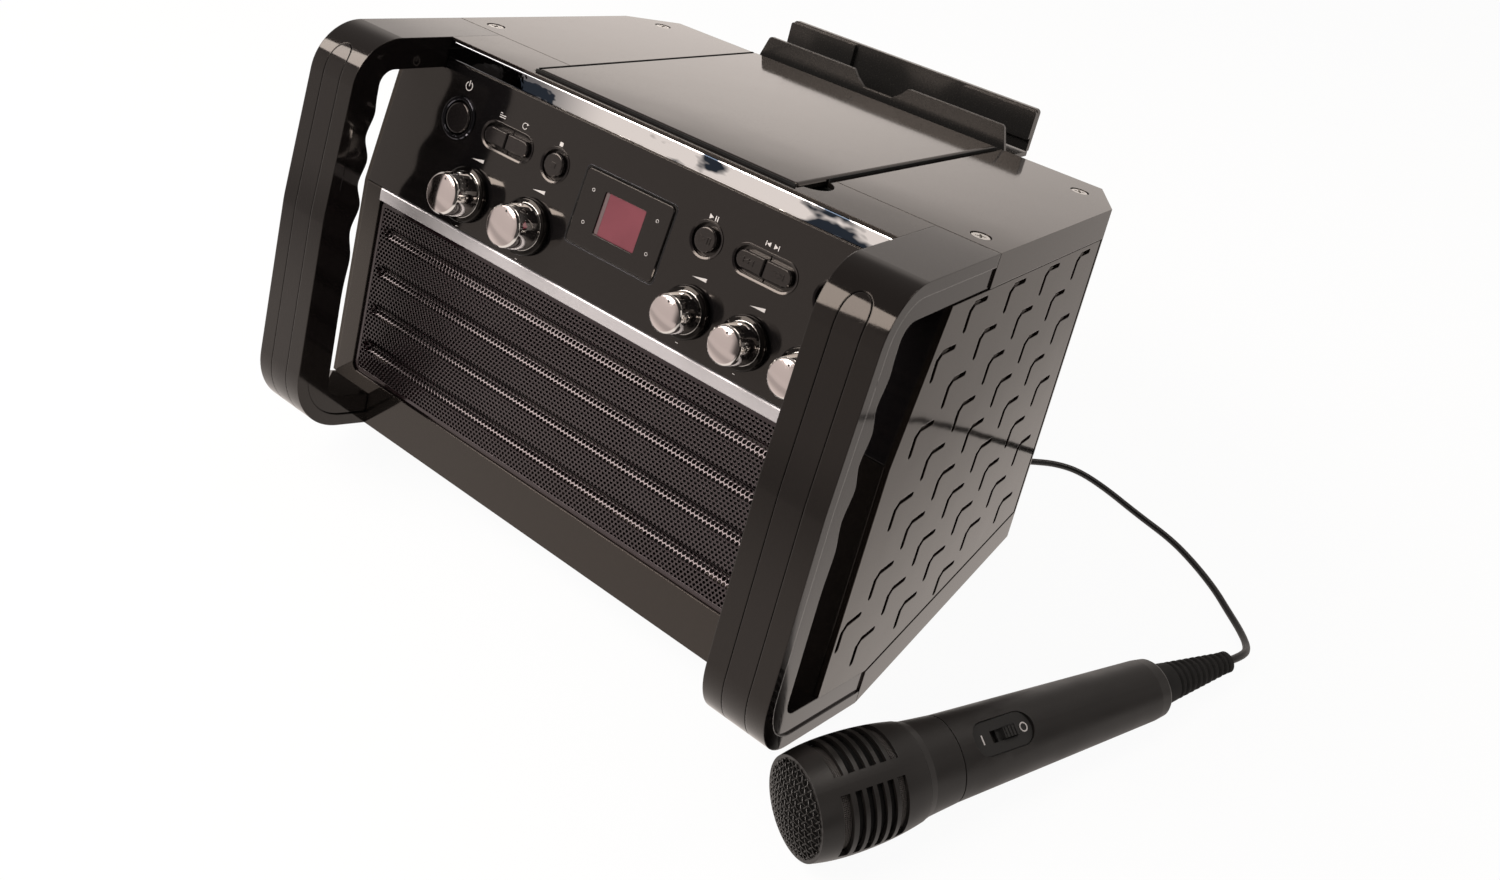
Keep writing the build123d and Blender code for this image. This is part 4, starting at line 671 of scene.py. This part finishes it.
# %% [markdown]
# ## Knobs
# Each knob is turned: a black skirt, a plated side with a slight draft, a bright edge cut
# at the face, and a satin face. A lathe profile gives that, so a small function turns a
# list of heights and radii round an axis, and each stretch of it names its own finish. A
# dimple on the face and a dark slot on the side show which way the knob points.

# %% Lathe
def around(sides, r=1.0):
    """Points at even steps round a circle."""
    return [(r * math.cos(2 * math.pi * i / sides), r * math.sin(2 * math.pi * i / sides))
            for i in range(sides)]


def turned(name, profile, finishes, sides=96):
    """Turn (height, radius, finish number) steps round z. The first and last close it."""
    mesh = bpy.data.meshes.new(name)
    shape = bmesh.new()
    rings = []
    for height, radius, _ in profile:
        if radius == 0:
            rings.append([shape.verts.new((0, 0, height))] * sides)
        else:
            rings.append([shape.verts.new((x, y, height)) for x, y in around(sides, radius)])
    for k in range(1, len(rings)):
        low, high = rings[k - 1], rings[k]
        for i in range(sides):
            corners = [low[i], low[(i + 1) % sides], high[(i + 1) % sides], high[i]]
            # On the axis two corners are one, and the face is a triangle.
            corners = [v for n, v in enumerate(corners) if v not in corners[:n]]
            face = shape.faces.new(corners)
            face.material_index = profile[k][2]
            face.smooth = True
    bmesh.ops.recalc_face_normals(shape, faces=shape.faces)
    shape.to_mesh(mesh)
    shape.free()
    for finish in finishes:
        mesh.materials.append(finish)
    mesh.set_sharp_from_angle(angle=math.radians(40))
    return mesh

# %% Dimples and slots
def patch(mesh, outline, finish_number):
    """Add a small flat or bent patch to a mesh, as one fan of faces round its middle."""
    shape = bmesh.new()
    shape.from_mesh(mesh)
    middle = shape.verts.new([sum(p[i] for p in outline) / len(outline) for i in range(3)])
    rim = [shape.verts.new(p) for p in outline]
    for i in range(len(rim)):
        shape.faces.new((middle, rim[i], rim[(i + 1) % len(rim)])).material_index = finish_number
    shape.to_mesh(mesh)
    shape.free()

# %% Knobs
KNOBS = {"mic": (-98.0, 30.0, 24.4, 21.8), "master": (-53.5, 30.0, 24.4, 21.8),
         "echo": (52.5, 26.0, 20.4, 18.2), "balance": (86.5, 26.0, 20.4, 18.2),
         "avc": (120.0, 26.0, 20.4, 18.2)}
KNOB_V, KNOB_TOP, SKIRT_LOW, SKIRT_TOP = 19.4, 19.0, 0.8, 4.0
SHAFT_LOW, SHAFT_R = -13.0, 3.0
DIMPLE_R, DIMPLE_IN = 0.62, 3.0
POINTER_Z, POINTER_HALF_H, POINTER_HALF_W = 10.4, 2.1, 1.25
for name, (x, skirt, foot_d, face_d) in KNOBS.items():
    skirt_r, foot_r, face_r = skirt / 2, foot_d / 2, face_d / 2
    profile = [(SHAFT_LOW, 0, 0), (SHAFT_LOW, SHAFT_R, 0), (SKIRT_LOW, SHAFT_R, 0),
               (SKIRT_LOW, skirt_r - 0.7, 0), (SKIRT_LOW + 0.5, skirt_r, 0), (SKIRT_TOP - 1.1, skirt_r, 0),
               (SKIRT_TOP - 0.4, skirt_r - 0.4, 0), (SKIRT_TOP, skirt_r - 1.1, 0),
               (SKIRT_TOP, foot_r + 0.15, 0), (SKIRT_TOP + 0.1, foot_r, 1),
               (KNOB_TOP - 1.25, face_r + 0.15, 1), (KNOB_TOP - 0.95, face_r - 0.05, 1),
               (KNOB_TOP - 0.15, face_r - 0.85, 1), (KNOB_TOP, face_r - 1.1, 2), (KNOB_TOP, 0, 2)]
    knob = turned("knob_" + name + "_cap", profile, [skirt_black, cap_chrome, face_chrome, dimple_black])
    patch(knob, [(px, face_r - DIMPLE_IN + py, KNOB_TOP + 0.02) for px, py in around(16, DIMPLE_R)], 3)
    slope = (foot_r - face_r) / (KNOB_TOP - SKIRT_TOP)
    side = []
    for px, py in around(20):
        height = POINTER_Z + POINTER_HALF_H * py
        r = foot_r - slope * (height - SKIRT_TOP) + 0.03
        way = math.radians(90) - POINTER_HALF_W * px / r
        side.append((r * math.cos(way), r * math.sin(way), height))
    patch(knob, side, 3)
    piece = new_piece("knob_" + name + "_cap", knob, "knob_" + name,
                      PANEL @ Matrix.Translation((x, KNOB_V, 0)))
    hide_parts("knob_" + name)
print("knobs", len(KNOBS))

# %% [markdown]
# ## Woven wire of the microphone
# The open end of the head is closed by a dome of woven steel wire. Real wire cloth goes
# over and under: each wire is a wave, and the waves of the two directions are half a turn
# apart. Geometry Nodes lay parallel wires, cut them to the round opening, lift them on
# the dome and give them the wave, and the same tree turned a quarter makes the other set.

# %% Tree of one set of wires
tree, want = new_tree("woven_wires", ["Wires", "Points", "Spacing", "Wire", "Wave", "Opening", "Ball"])
steps = add(tree, MATH, [want["Wires"], 1.0], operation="SUBTRACT")
half_step = add(tree, MATH, [want["Spacing"], 0.5], operation="MULTIPLY")
reach = add(tree, MATH, [steps, half_step], operation="MULTIPLY")
back = add(tree, MATH, [reach, -1.0], operation="MULTIPLY")
begin = add(tree, "ShaderNodeCombineXYZ", {"X": back})
step = add(tree, "ShaderNodeCombineXYZ", {"X": want["Spacing"]})
rows = add(tree, "GeometryNodeMeshLine", {"Count": want["Wires"], "Start Location": begin, "Offset": step})
low = add(tree, "ShaderNodeCombineXYZ", {"Y": back})
high = add(tree, "ShaderNodeCombineXYZ", {"Y": reach})
wire = add(tree, "GeometryNodeCurvePrimitiveLine", {"Start": low, "End": high})
wire = add(tree, "GeometryNodeResampleCurve", {"Curve": wire, "Count": want["Points"]})
wires = add(tree, "GeometryNodeInstanceOnPoints", {"Points": rows, "Instance": wire})
wires = add(tree, "GeometryNodeRealizeInstances", {"Geometry": wires})
print("nodes for the straight wires", len(tree.nodes))

# %% Tree of one set of wires: the round cut, the dome and the wave
place = add(tree, "ShaderNodeSeparateXYZ", [add(tree, "GeometryNodeInputPosition")]).outputs
x_y = [place["X"], place["Y"]]
round_2 = add(tree, MATH, [add(tree, MATH, [v, v], operation="MULTIPLY") for v in x_y], operation="ADD")
opening_2 = add(tree, MATH, [want["Opening"], want["Opening"]], operation="MULTIPLY")
outside = add(tree, MATH, [round_2, opening_2], operation="GREATER_THAN")
wires = add(tree, "GeometryNodeDeleteGeometry", {"Geometry": wires, "Selection": outside})
ball_2 = add(tree, MATH, [want["Ball"], want["Ball"]], operation="MULTIPLY")
dome_z = add(tree, MATH, [ball_2, round_2], operation="SUBTRACT")
dome_z = add(tree, MATH, [dome_z], operation="SQRT")
phase = add(tree, MATH, x_y, operation="ADD")
phase = add(tree, MATH, [phase, want["Spacing"]], operation="DIVIDE")
phase = add(tree, MATH, [phase, math.pi], operation="MULTIPLY")
over = add(tree, MATH, [phase], operation="COSINE")
over = add(tree, MATH, [over, want["Wave"]], operation="MULTIPLY")
lift = add(tree, "ShaderNodeCombineXYZ", {"Z": add(tree, MATH, [dome_z, over], operation="ADD")})
wires = add(tree, "GeometryNodeSetPosition", {"Geometry": wires, "Offset": lift})
section = add(tree, "GeometryNodeCurvePrimitiveCircle", {"Resolution": 6, "Radius": want["Wire"]})
cloth = add(tree, "GeometryNodeCurveToMesh", {"Curve": wires, "Profile Curve": section, "Fill Caps": True})
end_tree(tree, cloth, want["Material"])
print("nodes of the whole tree", len(tree.nodes))

# %% Make the dome
MIC_ROLL = math.radians(-27.0)
level = (Vector((0, 0, 1)) - mic_axis * mic_axis.z).normalized()
mic_turn = Matrix((level, mic_axis.cross(level), mic_axis)).transposed().to_4x4()
MIC = (Matrix.Translation(table(*MIC_TAIL)) @ mic_turn @ Matrix.Rotation(MIC_ROLL, 4, "Z") @
       Matrix.Scale(MM, 4))
RIM_U, OPENING, DOME_H = 211.8, 20.2, 5.0
BALL_R = (OPENING ** 2 + DOME_H ** 2) / (2 * DOME_H)
BALL_MID = RIM_U + DOME_H - BALL_R
WIRES, WIRE_R, WAVE, PROUD = 19, 0.38, 0.36, 0.9
sizes = {"Wires": WIRES, "Points": WIRES * 5, "Spacing": 2.35, "Wire": WIRE_R, "Wave": WAVE,
         "Opening": OPENING, "Ball": BALL_R - WIRE_R - WAVE + PROUD}
shape = bmesh.new()
for turn_no in (0, 1):
    wires = run_tree(tree, mic_wire_paint, {**sizes, "Wave": WAVE * (1 - 2 * turn_no)})
    quarter = Matrix.Rotation(math.radians(90 * turn_no), 4, "Z")
    wires.transform(Matrix.Translation((0, 0, BALL_MID)) @ quarter)
    shape.from_mesh(wires)
cloth = bpy.data.meshes.new("mic_wire_dome")
for face in shape.faces:
    face.smooth = True
shape.to_mesh(cloth)
shape.free()
cloth.materials.append(mic_wire_paint)
dome = new_piece("mic_wire_dome", cloth, CABINET, MIC)
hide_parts("mic_mesh")
print("wire faces", len(cloth.polygons))

# %% [markdown]
# ### Behind the wires
# A pad of foam stops the breath behind the dome. Behind the first and the last slots of the
# head a sleeve of fine wire shows. Its wires are too fine to model, so the sleeve has a map of
# its own in millimetres round and along, and its finish draws the wires from that.

# %% Foam
PAD_BACK = 1.6
dome_side = [(BALL_MID - PAD_BACK + math.sqrt(BALL_R ** 2 - r * r), r, 0) for r in range(18, 0, -2)]
pad = [(166.5, 0, 0), (166.5, 19.5, 0), (168.0, 20.85, 0), (175.5, 20.85, 0), (176.5, 21.15, 0),
       (195.5, 21.15, 0), (196.5, 20.85, 0), (205.2, 20.85, 0), (205.6, 21.0, 0), (207.6, 21.0, 0),
       (208.4, 19.1, 0)] + dome_side
pad.append((BALL_MID - PAD_BACK + BALL_R, 0, 0))
new_piece("mic_foam", turned("mic_foam", pad, [foam_black], sides=64), CABINET, MIC)
print("foam lies", PAD_BACK, "mm behind the wires")

# %% Sleeve with a map of its own
def sleeve(name, low, high, radius, sides=128):
    """A tube's wall between two heights, mapped in millimetres round it and along it."""
    mesh = mesh_of(name, [(x, y, z) for z in (low, high) for x, y in around(sides, radius)], band(sides),
                   sleeve_wire)
    across = mesh.uv_layers.new(name="millimetres")
    round_mm = 2 * math.pi * radius
    for face in mesh.polygons:
        face.use_smooth = True
        for corner, (i, z) in zip(face.loop_indices, ((0, low), (1, low), (1, high), (0, high))):
            across.data[corner].uv = ((face.index + i) / sides * round_mm, z)
    return mesh

# %% Front and rear sleeve
SLEEVE_R = 21.0
for name, low, high in (("mic_sleeve_front", 196.8, 204.0), ("mic_sleeve_rear", 168.4, 174.6)):
    new_piece(name, sleeve(name, low, high, SLEEVE_R), CABINET, MIC)
    print(name, round(high - low, 1), "mm long")

# %% [markdown]
# ## Small marks
# The marks are ink a few hundredths of a millimetre thick, so flat shapes just over the
# surface will do. Only plain signs are used: the power sign, player arrows and bars, level
# wedges, and the bar and ring of a switch. On the keys they are raised in the key itself.

# %% Flat shapes
SQUARE = ((-1, -1), (1, -1), (1, 1), (-1, 1))


def strip(points, width):
    """A flat band of one width along a few points, as four-cornered outlines."""
    out = []
    for (x0, y0), (x1, y1) in zip(points, points[1:]):
        run = math.hypot(x1 - x0, y1 - y0)
        nx, ny = (y0 - y1) / run * width / 2, (x1 - x0) / run * width / 2
        out.append([(x0 + nx, y0 + ny), (x0 - nx, y0 - ny), (x1 - nx, y1 - ny), (x1 + nx, y1 + ny)])
    return out


def arc(x, y, r, begin, end, width=0.32, steps=20):
    """Part of a ring, between two angles in degrees."""
    turn = [math.radians(begin + (end - begin) * i / steps) for i in range(steps + 1)]
    return strip([(x + r * math.cos(a), y + r * math.sin(a)) for a in turn], width)


def arrow(x, y, size, way=1):
    """A solid arrowhead pointing right, or left."""
    back, tip, tall = x - way * size / 2, x + way * size / 2, size * 0.55
    ends = [(back, y - tall), (tip, y), (back, y + tall)]
    return [ends[::way]]


def bar(x, y, wide, high):
    """A plain bar round its middle."""
    return [[(x + sx * wide / 2, y + sy * high / 2) for sx, sy in SQUARE]]


def wedge(x, y, wide, high):
    """The lower right half of a bar, which grows to the right."""
    return [bar(x, y, wide, high)[0][:3]]

# %% Flat shapes on a face
def marked(name, outlines, finish, height, body, place, thick=0.05):
    """One mesh of flat shapes at a height over a face, each with a low side all round."""
    points, faces = [], []
    for outline in outlines:
        n, first = len(outline), len(points)
        points += [(x, y, h) for h in (height + thick, height - 0.02) for x, y in outline]
        faces += [tuple(range(first, first + n)), *band(n, first)]
    mesh = mesh_of(name, points, faces, finish)
    shape = bmesh.new()
    shape.from_mesh(mesh)
    bmesh.ops.recalc_face_normals(shape, faces=shape.faces)
    shape.to_mesh(mesh)
    shape.free()
    return new_piece(name, mesh, body, place)

# %% [markdown]
# ### Ink on the panel
# The marks sit in rows over the keys and the knobs, at the heights that the CAD gives the
# keys. The display's frame gets a black line of painted shade for its gap, a thin bright line
# outside it, and a grey strip of painted highlight down one side of the window, where the lit
# thickness of the acrylic block shows.

# %% Marks on the panel and its window frame
ROW_V, LABEL_V, WINDOW_V = 54.6, 65.6, 42.8
STOP_X, PLAY_X, LIGHT_X = -49.0, 49.0, 119.5
MARKS_R = {30.0: 18.4, 26.0: 16.2}
ink = arc(-LIGHT_X, 72.4, 2.3, 115, 425, 0.5) + bar(-LIGHT_X, 74.0, 0.5, 3.2)
ink += bar(-91.0, LABEL_V - 0.7, 4.2, 0.4) + bar(-91.0, LABEL_V + 0.4, 4.2, 0.4)
ink += bar(-92.4, LABEL_V + 1.5, 1.4, 0.4)
ink += arc(-75.0, LABEL_V + 0.4, 1.6, 40, 340, 0.36) + arrow(-73.3, LABEL_V + 1.5, 1.3)
ink += bar(STOP_X, LABEL_V, 2.2, 2.2)
ink += arrow(47.8, LABEL_V, 2.4) + bar(50.2, LABEL_V, 0.55, 2.6) + bar(51.4, LABEL_V, 0.55, 2.6)
ink += arrow(80.9, LABEL_V, 2.2, -1) + bar(79.5, LABEL_V, 0.45, 2.4)
ink += arrow(85.1, LABEL_V, 2.2) + bar(86.5, LABEL_V, 0.45, 2.4)
ink += arc(LIGHT_X, LABEL_V, 1.1, 0, 360, 0.34)
for x, y in around(8):
    ink += strip([(LIGHT_X + r * x, LABEL_V + r * y) for r in (1.7, 2.5)], 0.3)
for x, skirt, foot_d, face_d in KNOBS.values():
    r = MARKS_R[skirt]
    ink += wedge(x, KNOB_V + r + 1.4, 8.4, 1.9) + bar(x, KNOB_V - r + 0.6, 1.5, 0.35)
ink += [q for x in (-20.6, 20.6) for v in (52.3, 35.3) for q in arc(x, v, 0.8, 0, 360, 0.26, 12)]
WINDOW_HALF = 27
on_plate = [q for q in ink if abs(q[0][0]) > WINDOW_HALF]
on_frame = [q for q in ink if abs(q[0][0]) < WINDOW_HALF]
marked("panel_marks", on_plate, silk_white, 0.0, CABINET, PANEL)
marked("window_marks", on_frame, silk_white, 0.8, CABINET, PANEL)
# The gap round the frame is a black strip of painted shade, and the glint is a thin chrome strip.
for name, outline, wide, finish in (("window_gap_painted_shade", (28.75, 20.05, 2.4), 0.5, foam_black),
                                    ("window_glint", (29.15, 20.45, 2.6), 0.2, dark_chrome)):
    points = [(x, v + WINDOW_V) for x, v in rounded(*outline)]
    marked(name, strip(points + points[:1], wide), finish, 0.0, CABINET, PANEL)
# A flat grey strip of painted highlight: the lit side wall of the acrylic block.
marked("window_edge_painted_highlight", bar(-11.7, 43.2, 2.2, 21.6), painted_edge_highlight, 0.2, CABINET, PANEL)
print("shapes on the panel", len(on_plate), "and on the window's frame", len(on_frame))

# %% [markdown]
# ### Painted shade in the door's gap
# A strip of black foam lies in the gap round the disc door as painted shade. It is only
# a little under the surface, so the gap reads as one black line of even depth. It stops
# short of the finger notch, and it rides on the cabinet, so the door lifts clear of it.

# %% Painted shade in the gap round the disc door
TOP_Z = 241.0
DOOR_FRONT, DOOR_REAR, BESIDE_NOTCH = (82.65, 73.5), (89.0, 279.5), 98.5
TOP = face_frame(seated(0, 0, TOP_Z), ACROSS, (seated(0, 1, 0) - seated(0, 0, 0)).normalized())
lean_out = (DOOR_REAR[0] - DOOR_FRONT[0]) / (DOOR_REAR[1] - DOOR_FRONT[1])
door_gap_shade_strips = strip([(-DOOR_FRONT[0], DOOR_FRONT[1]), (-DOOR_REAR[0], DOOR_REAR[1])], 0.8)
door_gap_shade_strips += strip([(DOOR_FRONT[0] + lean_out * (BESIDE_NOTCH - DOOR_FRONT[1]), BESIDE_NOTCH), DOOR_REAR], 0.8)
door_gap_shade_strips += strip([(-82.0, 70.7), (82.0, 70.7)], 0.7)
# A black strip just under the surface: painted shade in the door's gap.
marked("door_gap_shade", door_gap_shade_strips, foam_black, -1.5, CABINET, TOP, thick=2.7)
print("strips of the seal", len(door_gap_shade_strips))

# %% [markdown]
# ### Cloth behind the sound slots
# A dark cloth is glued inside the rear wall, behind its sound slots, as loudspeakers have
# it against dust. It also keeps daylight out of the cabinet, which shows when the disc door
# is open. A thin closed box is enough, because only its dull black is seen.

# %% Cloth behind the sound slots
REAR_TOP_Y, REAR_LEAN, WALL = 283.8, math.radians(5.1), 2.5
SLOTS_Z, CLOTH_HALF_W, CLOTH_HALF_H = 144.5, 52, 33
corners = []
for depth in (WALL + 0.2, WALL + 1.2):
    for sx, sz in SQUARE:
        z = SLOTS_Z + sz * CLOTH_HALF_H
        wall_y = REAR_TOP_Y + (TOP_Z - z) * math.tan(REAR_LEAN)
        corners.append(seated(sx * CLOTH_HALF_W, wall_y - depth / math.cos(REAR_LEAN), z))
cloth_mesh = mesh_of("slot_cloth", corners, [(3, 2, 1, 0), (4, 5, 6, 7), *band(4)], foam_black)
new_piece("slot_cloth", cloth_mesh, CABINET)
print("cloth", 2 * CLOTH_HALF_W, "by", 2 * CLOTH_HALF_H, "mm")

# %% [markdown]
# ### Keys
# Four keys have a raised sign, moulded with the key, so it rides on the key's own body.
# Each key sits in a well with a soft rim, made as a closed ring of flat facets: its slopes
# catch the light as the bright crescents that show where a black key ends.

# %% Raised signs on the keys
KEY_TOP = 1.4
KEY_SIGNS = {
    "button_stop": bar(STOP_X, ROW_V, 3.0, 3.0),
    "button_play": arrow(47.6, ROW_V, 3.4) + bar(50.4, ROW_V, 0.8, 3.6) + bar(51.8, ROW_V, 0.8, 3.6),
    "button_skip_back": (arrow(76.2, ROW_V, 2.8, -1) + arrow(73.6, ROW_V, 2.8, -1)
                         + bar(71.9, ROW_V, 0.6, 3.0)),
    "button_skip_forward": arrow(89.8, ROW_V, 2.8) + arrow(92.4, ROW_V, 2.8) + bar(94.1, ROW_V, 0.6, 3.0)}
for key, sign in KEY_SIGNS.items():
    marked(key + "_sign", sign, key_black, KEY_TOP, key, PANEL, thick=0.22)
print("keys with a sign", len(KEY_SIGNS))

# %% Rims round the keys
ROUND_WELL, PILL_WELL, PAIR_X = (8.0, 8.0), (16.8, 6.5), 83.0
RIM_STEPS = ((1.5, 0.0), (1.44, 0.38), (1.25, 0.44), (0.1, 0.02), (-0.05, -0.8))
for x, (half_w, half_h) in ((STOP_X, ROUND_WELL), (PLAY_X, ROUND_WELL), (LIGHT_X, ROUND_WELL),
                            (-PAIR_X, PILL_WELL), (PAIR_X, PILL_WELL)):
    outlines = [(rounded(half_w + grow, half_h + grow, half_h + grow, 12), h) for grow, h in RIM_STEPS]
    rim = ring_mesh("key_rim", outlines, key_black)
    name = "key_rim_" + ("left_" if x < 0 else "right_") + str(round(abs(x)))
    new_piece(name, rim, CABINET, PANEL @ Matrix.Translation((x, ROW_V, 0)))
    print(name, "faces", len(rim.polygons))

# %% [markdown]
# ### Signs of the microphone's switch
# A bar and a ring say on and off beside the switch. They are the same kind of ink, so the
# same flat shapes do, laid on the switch's plate by a matrix of its own.

# %% Bar and ring of the microphone's switch
PLATE_X = 15.9
SWITCH = MIC @ Matrix(((0, 0, 1, PLATE_X), (0, 1, 0, 0), (-1, 0, 0, 0), (0, 0, 0, 1)))
signs = bar(-120.2, 0, 0.7, 4.2) + arc(-96.3, 0, 1.9, 0, 360, 0.6)
marked("mic_switch_marks", signs, silk_white, 0.0, CABINET, SWITCH)
print("shapes on the switch's plate", len(signs))

# %% [markdown]
# ## Floor, light and background
# A plain white sweep. The camera sees the floor and the world nearly white, and part of
# the floor's colour still comes from real light, which keeps a soft shadow under the
# machine. The machine is a set of black mirrors, so its look is what it mirrors: a bright
# sweep with darker room beyond it. Mirror and glass rays therefore see the floor in soft
# steps of brightness, which fall off ahead of it and towards one corner.

# %% Floor
FLOOR_HALF = 6.0
paper = bpy.data.materials.new("white_paper")
paper.use_nodes = True
floor_mesh = mesh_of("studio_floor", [(sx * FLOOR_HALF, sy * FLOOR_HALF, 0) for sx, sy in SQUARE],
                     [(0, 1, 2, 3)], paper)
floor = bpy.data.objects.new("studio_floor", floor_mesh)
bpy.context.scene.collection.objects.link(floor)
print("floor", 2 * FLOOR_HALF, "m wide")

# %% What a mirror sees of the floor
tree = paper.node_tree
tree.nodes.clear()
place = add(tree, "ShaderNodeTexCoord").outputs["Object"]
place = add(tree, "ShaderNodeSeparateXYZ", {"Vector": place}).outputs

# Soft steps: the axis, where each begins and ends in metres, and its two levels.
FLOOR_STEPS = {"ahead": ("Y", -0.62, -0.36, 0.5, 0.95), "far ahead": ("Y", -0.8, -1.1, 0.0, 0.22),
               "aside": ("X", 0.2, 0.6, 0.66, 1.0), "left": ("X", 0.1, 0.2, 0.34, 0.0),
               "right": ("X", 0.05, 0.35, 0.0, 1.0), "before": ("Y", -0.35, -0.6, 0.0, 0.9)}
soft = {}
for name, (axis, begin, end, low, high) in FLOOR_STEPS.items():
    soft[name] = add(tree, MAP_RANGE, {"Value": place[axis], "From Min": begin, "From Max": end,
                                       "To Min": low, "To Max": high}, interpolation_type="SMOOTHSTEP")
ahead = add(tree, MATH, [soft["ahead"], soft["far ahead"]], operation="ADD")
aside = add(tree, MATH, [soft["aside"], soft["left"]], operation="ADD")
level = add(tree, MATH, [aside, ahead], operation="MULTIPLY")
corner = add(tree, MATH, [soft["right"], soft["before"]], operation="MULTIPLY")
corner = add(tree, MATH, [1.0, corner], operation="SUBTRACT")
level = add(tree, MATH, [level, corner], operation="MULTIPLY")
print("soft steps of the floor", len(soft))

# %% Paper of the floor
MIRROR_TINT = "#fff5ee"
ray = add(tree, "ShaderNodeLightPath").outputs
glow_share = add(tree, MATH, [ray["Is Camera Ray"], 0.95], operation="MULTIPLY")
matt = add(tree, "ShaderNodeBsdfDiffuse", {"Color": linear("#e9e7e4")})
glow = add(tree, "ShaderNodeEmission", {"Color": (1, 1, 1, 1), "Strength": 1.0})
mirrored = add(tree, "ShaderNodeEmission", {"Color": linear(MIRROR_TINT), "Strength": level})
both = add(tree, "ShaderNodeMixShader", [glow_share, matt, glow])
glossy = add(tree, MATH, [ray["Is Glossy Ray"], ray["Is Transmission Ray"]], operation="MAXIMUM")
both = add(tree, "ShaderNodeMixShader", [glossy, both, mirrored])
add(tree, "ShaderNodeOutputMaterial", {"Surface": both})
print("nodes of the paper", len(tree.nodes))

# %% [markdown]
# ### World
# The world does the same for directions above the floor: walls that darken with height
# and to one side, a dim corner, and the sweep's bright foot low down behind. Other rays
# see one plain warm white, so the colour of the light stays even.

# %% What a mirror sees of the room
world = bpy.data.worlds.new("studio_world")
bpy.context.scene.world = world
world.use_nodes = True
tree = world.node_tree
tree.nodes.clear()
way = add(tree, "ShaderNodeTexCoord").outputs["Generated"]
way = add(tree, "ShaderNodeSeparateXYZ", {"Vector": way}).outputs

# Soft steps: the part of the direction, where each begins and ends, and its two levels.
ROOM_STEPS = {"right of": ("X", -0.25, 0.02, 0.0, 1.0), "before": ("Y", -0.2, 0.2, 1.0, 0.0),
              "height": ("Z", 0.28, 0.6, 0.68, 0.32), "side wall": ("X", 0.7, 0.9, 1.0, 0.25),
              "foot": ("Z", 0.104, 0.136, 1.0, 0.0), "behind": ("Y", 0.5, 0.75, 0.0, 1.0),
              "foot's end": ("X", -0.52, -0.24, 0.9, 0.42)}
soft = {}
for name, (axis, begin, end, low, high) in ROOM_STEPS.items():
    soft[name] = add(tree, MAP_RANGE, {"Value": way[axis], "From Min": begin, "From Max": end,
                                       "To Min": low, "To Max": high}, interpolation_type="SMOOTHSTEP")
corner = add(tree, MATH, [soft["right of"], soft["before"]], operation="MULTIPLY")
corner = add(tree, MATH, [corner, 0.9], operation="MULTIPLY")
corner = add(tree, MATH, [1.0, corner], operation="SUBTRACT")
walls = add(tree, MATH, [soft["height"], soft["side wall"]], operation="MULTIPLY")
walls = add(tree, MATH, [walls, corner], operation="MULTIPLY")
sweep = add(tree, MATH, [soft["foot"], soft["behind"]], operation="MULTIPLY")
sweep = add(tree, MATH, [sweep, soft["foot's end"]], operation="MULTIPLY")
level = add(tree, MATH, [walls, sweep], operation="ADD")
print("soft steps of the room", len(soft))

# %% World
ray = add(tree, "ShaderNodeLightPath").outputs
room = add(tree, "ShaderNodeBackground", {"Color": linear("#fff8f2"), "Strength": 0.42})
mirrored = add(tree, "ShaderNodeBackground", {"Color": linear(MIRROR_TINT), "Strength": level})
white = add(tree, "ShaderNodeBackground", {"Color": (1, 1, 1, 1), "Strength": 1.0})
both = add(tree, "ShaderNodeMixShader", [ray["Is Glossy Ray"], room, mirrored])
both = add(tree, "ShaderNodeMixShader", [ray["Is Camera Ray"], both, white])
add(tree, "ShaderNodeOutputWorld", {"Surface": both})
print("nodes of the world", len(tree.nodes))

# %% [markdown]
# ### Lamps
# Three softboxes at a plain level: a large one ahead and above, which draws the highlight
# on the handles and knobs, a smaller one overhead and a faint one on the right.

# %% Lamps
def softbox(name, at, towards, size, power, tint="#fff6ee"):
    """A soft rectangular lamp that faces a point."""
    data = bpy.data.lights.new(name, "AREA")
    data.shape = "RECTANGLE"
    data.size, data.size_y = size
    data.energy = power
    data.color = linear(tint)[:3]
    lamp = bpy.data.objects.new(name, data)
    lamp.location = at
    lamp.rotation_euler = (Vector(towards) - Vector(at)).to_track_quat("-Z", "Y").to_euler()
    bpy.context.scene.collection.objects.link(lamp)


softbox("key_softbox", (-0.82, -0.86, 1.17), (-0.08, -0.1, 0.12), (1.15, 0.85), 30)
softbox("top_softbox", (0.1, 0.5, 1.7), (0, 0, 0.1), (0.9, 0.7), 6)
softbox("right_softbox", (1.5, -0.6, 1.0), (0.1, 0, 0.1), (0.7, 0.9), 1.5)
print("lamps", [lamp.name for lamp in bpy.data.lights])

# %% [markdown]
# ### Colours of the render
# The Standard view shows a white floor as white. Blender's own choice is made for stronger
# contrasts and would turn it grey.

# %% Colours of the render
bpy.context.scene.view_settings.view_transform = "Standard"
print("view", bpy.context.scene.view_settings.view_transform)
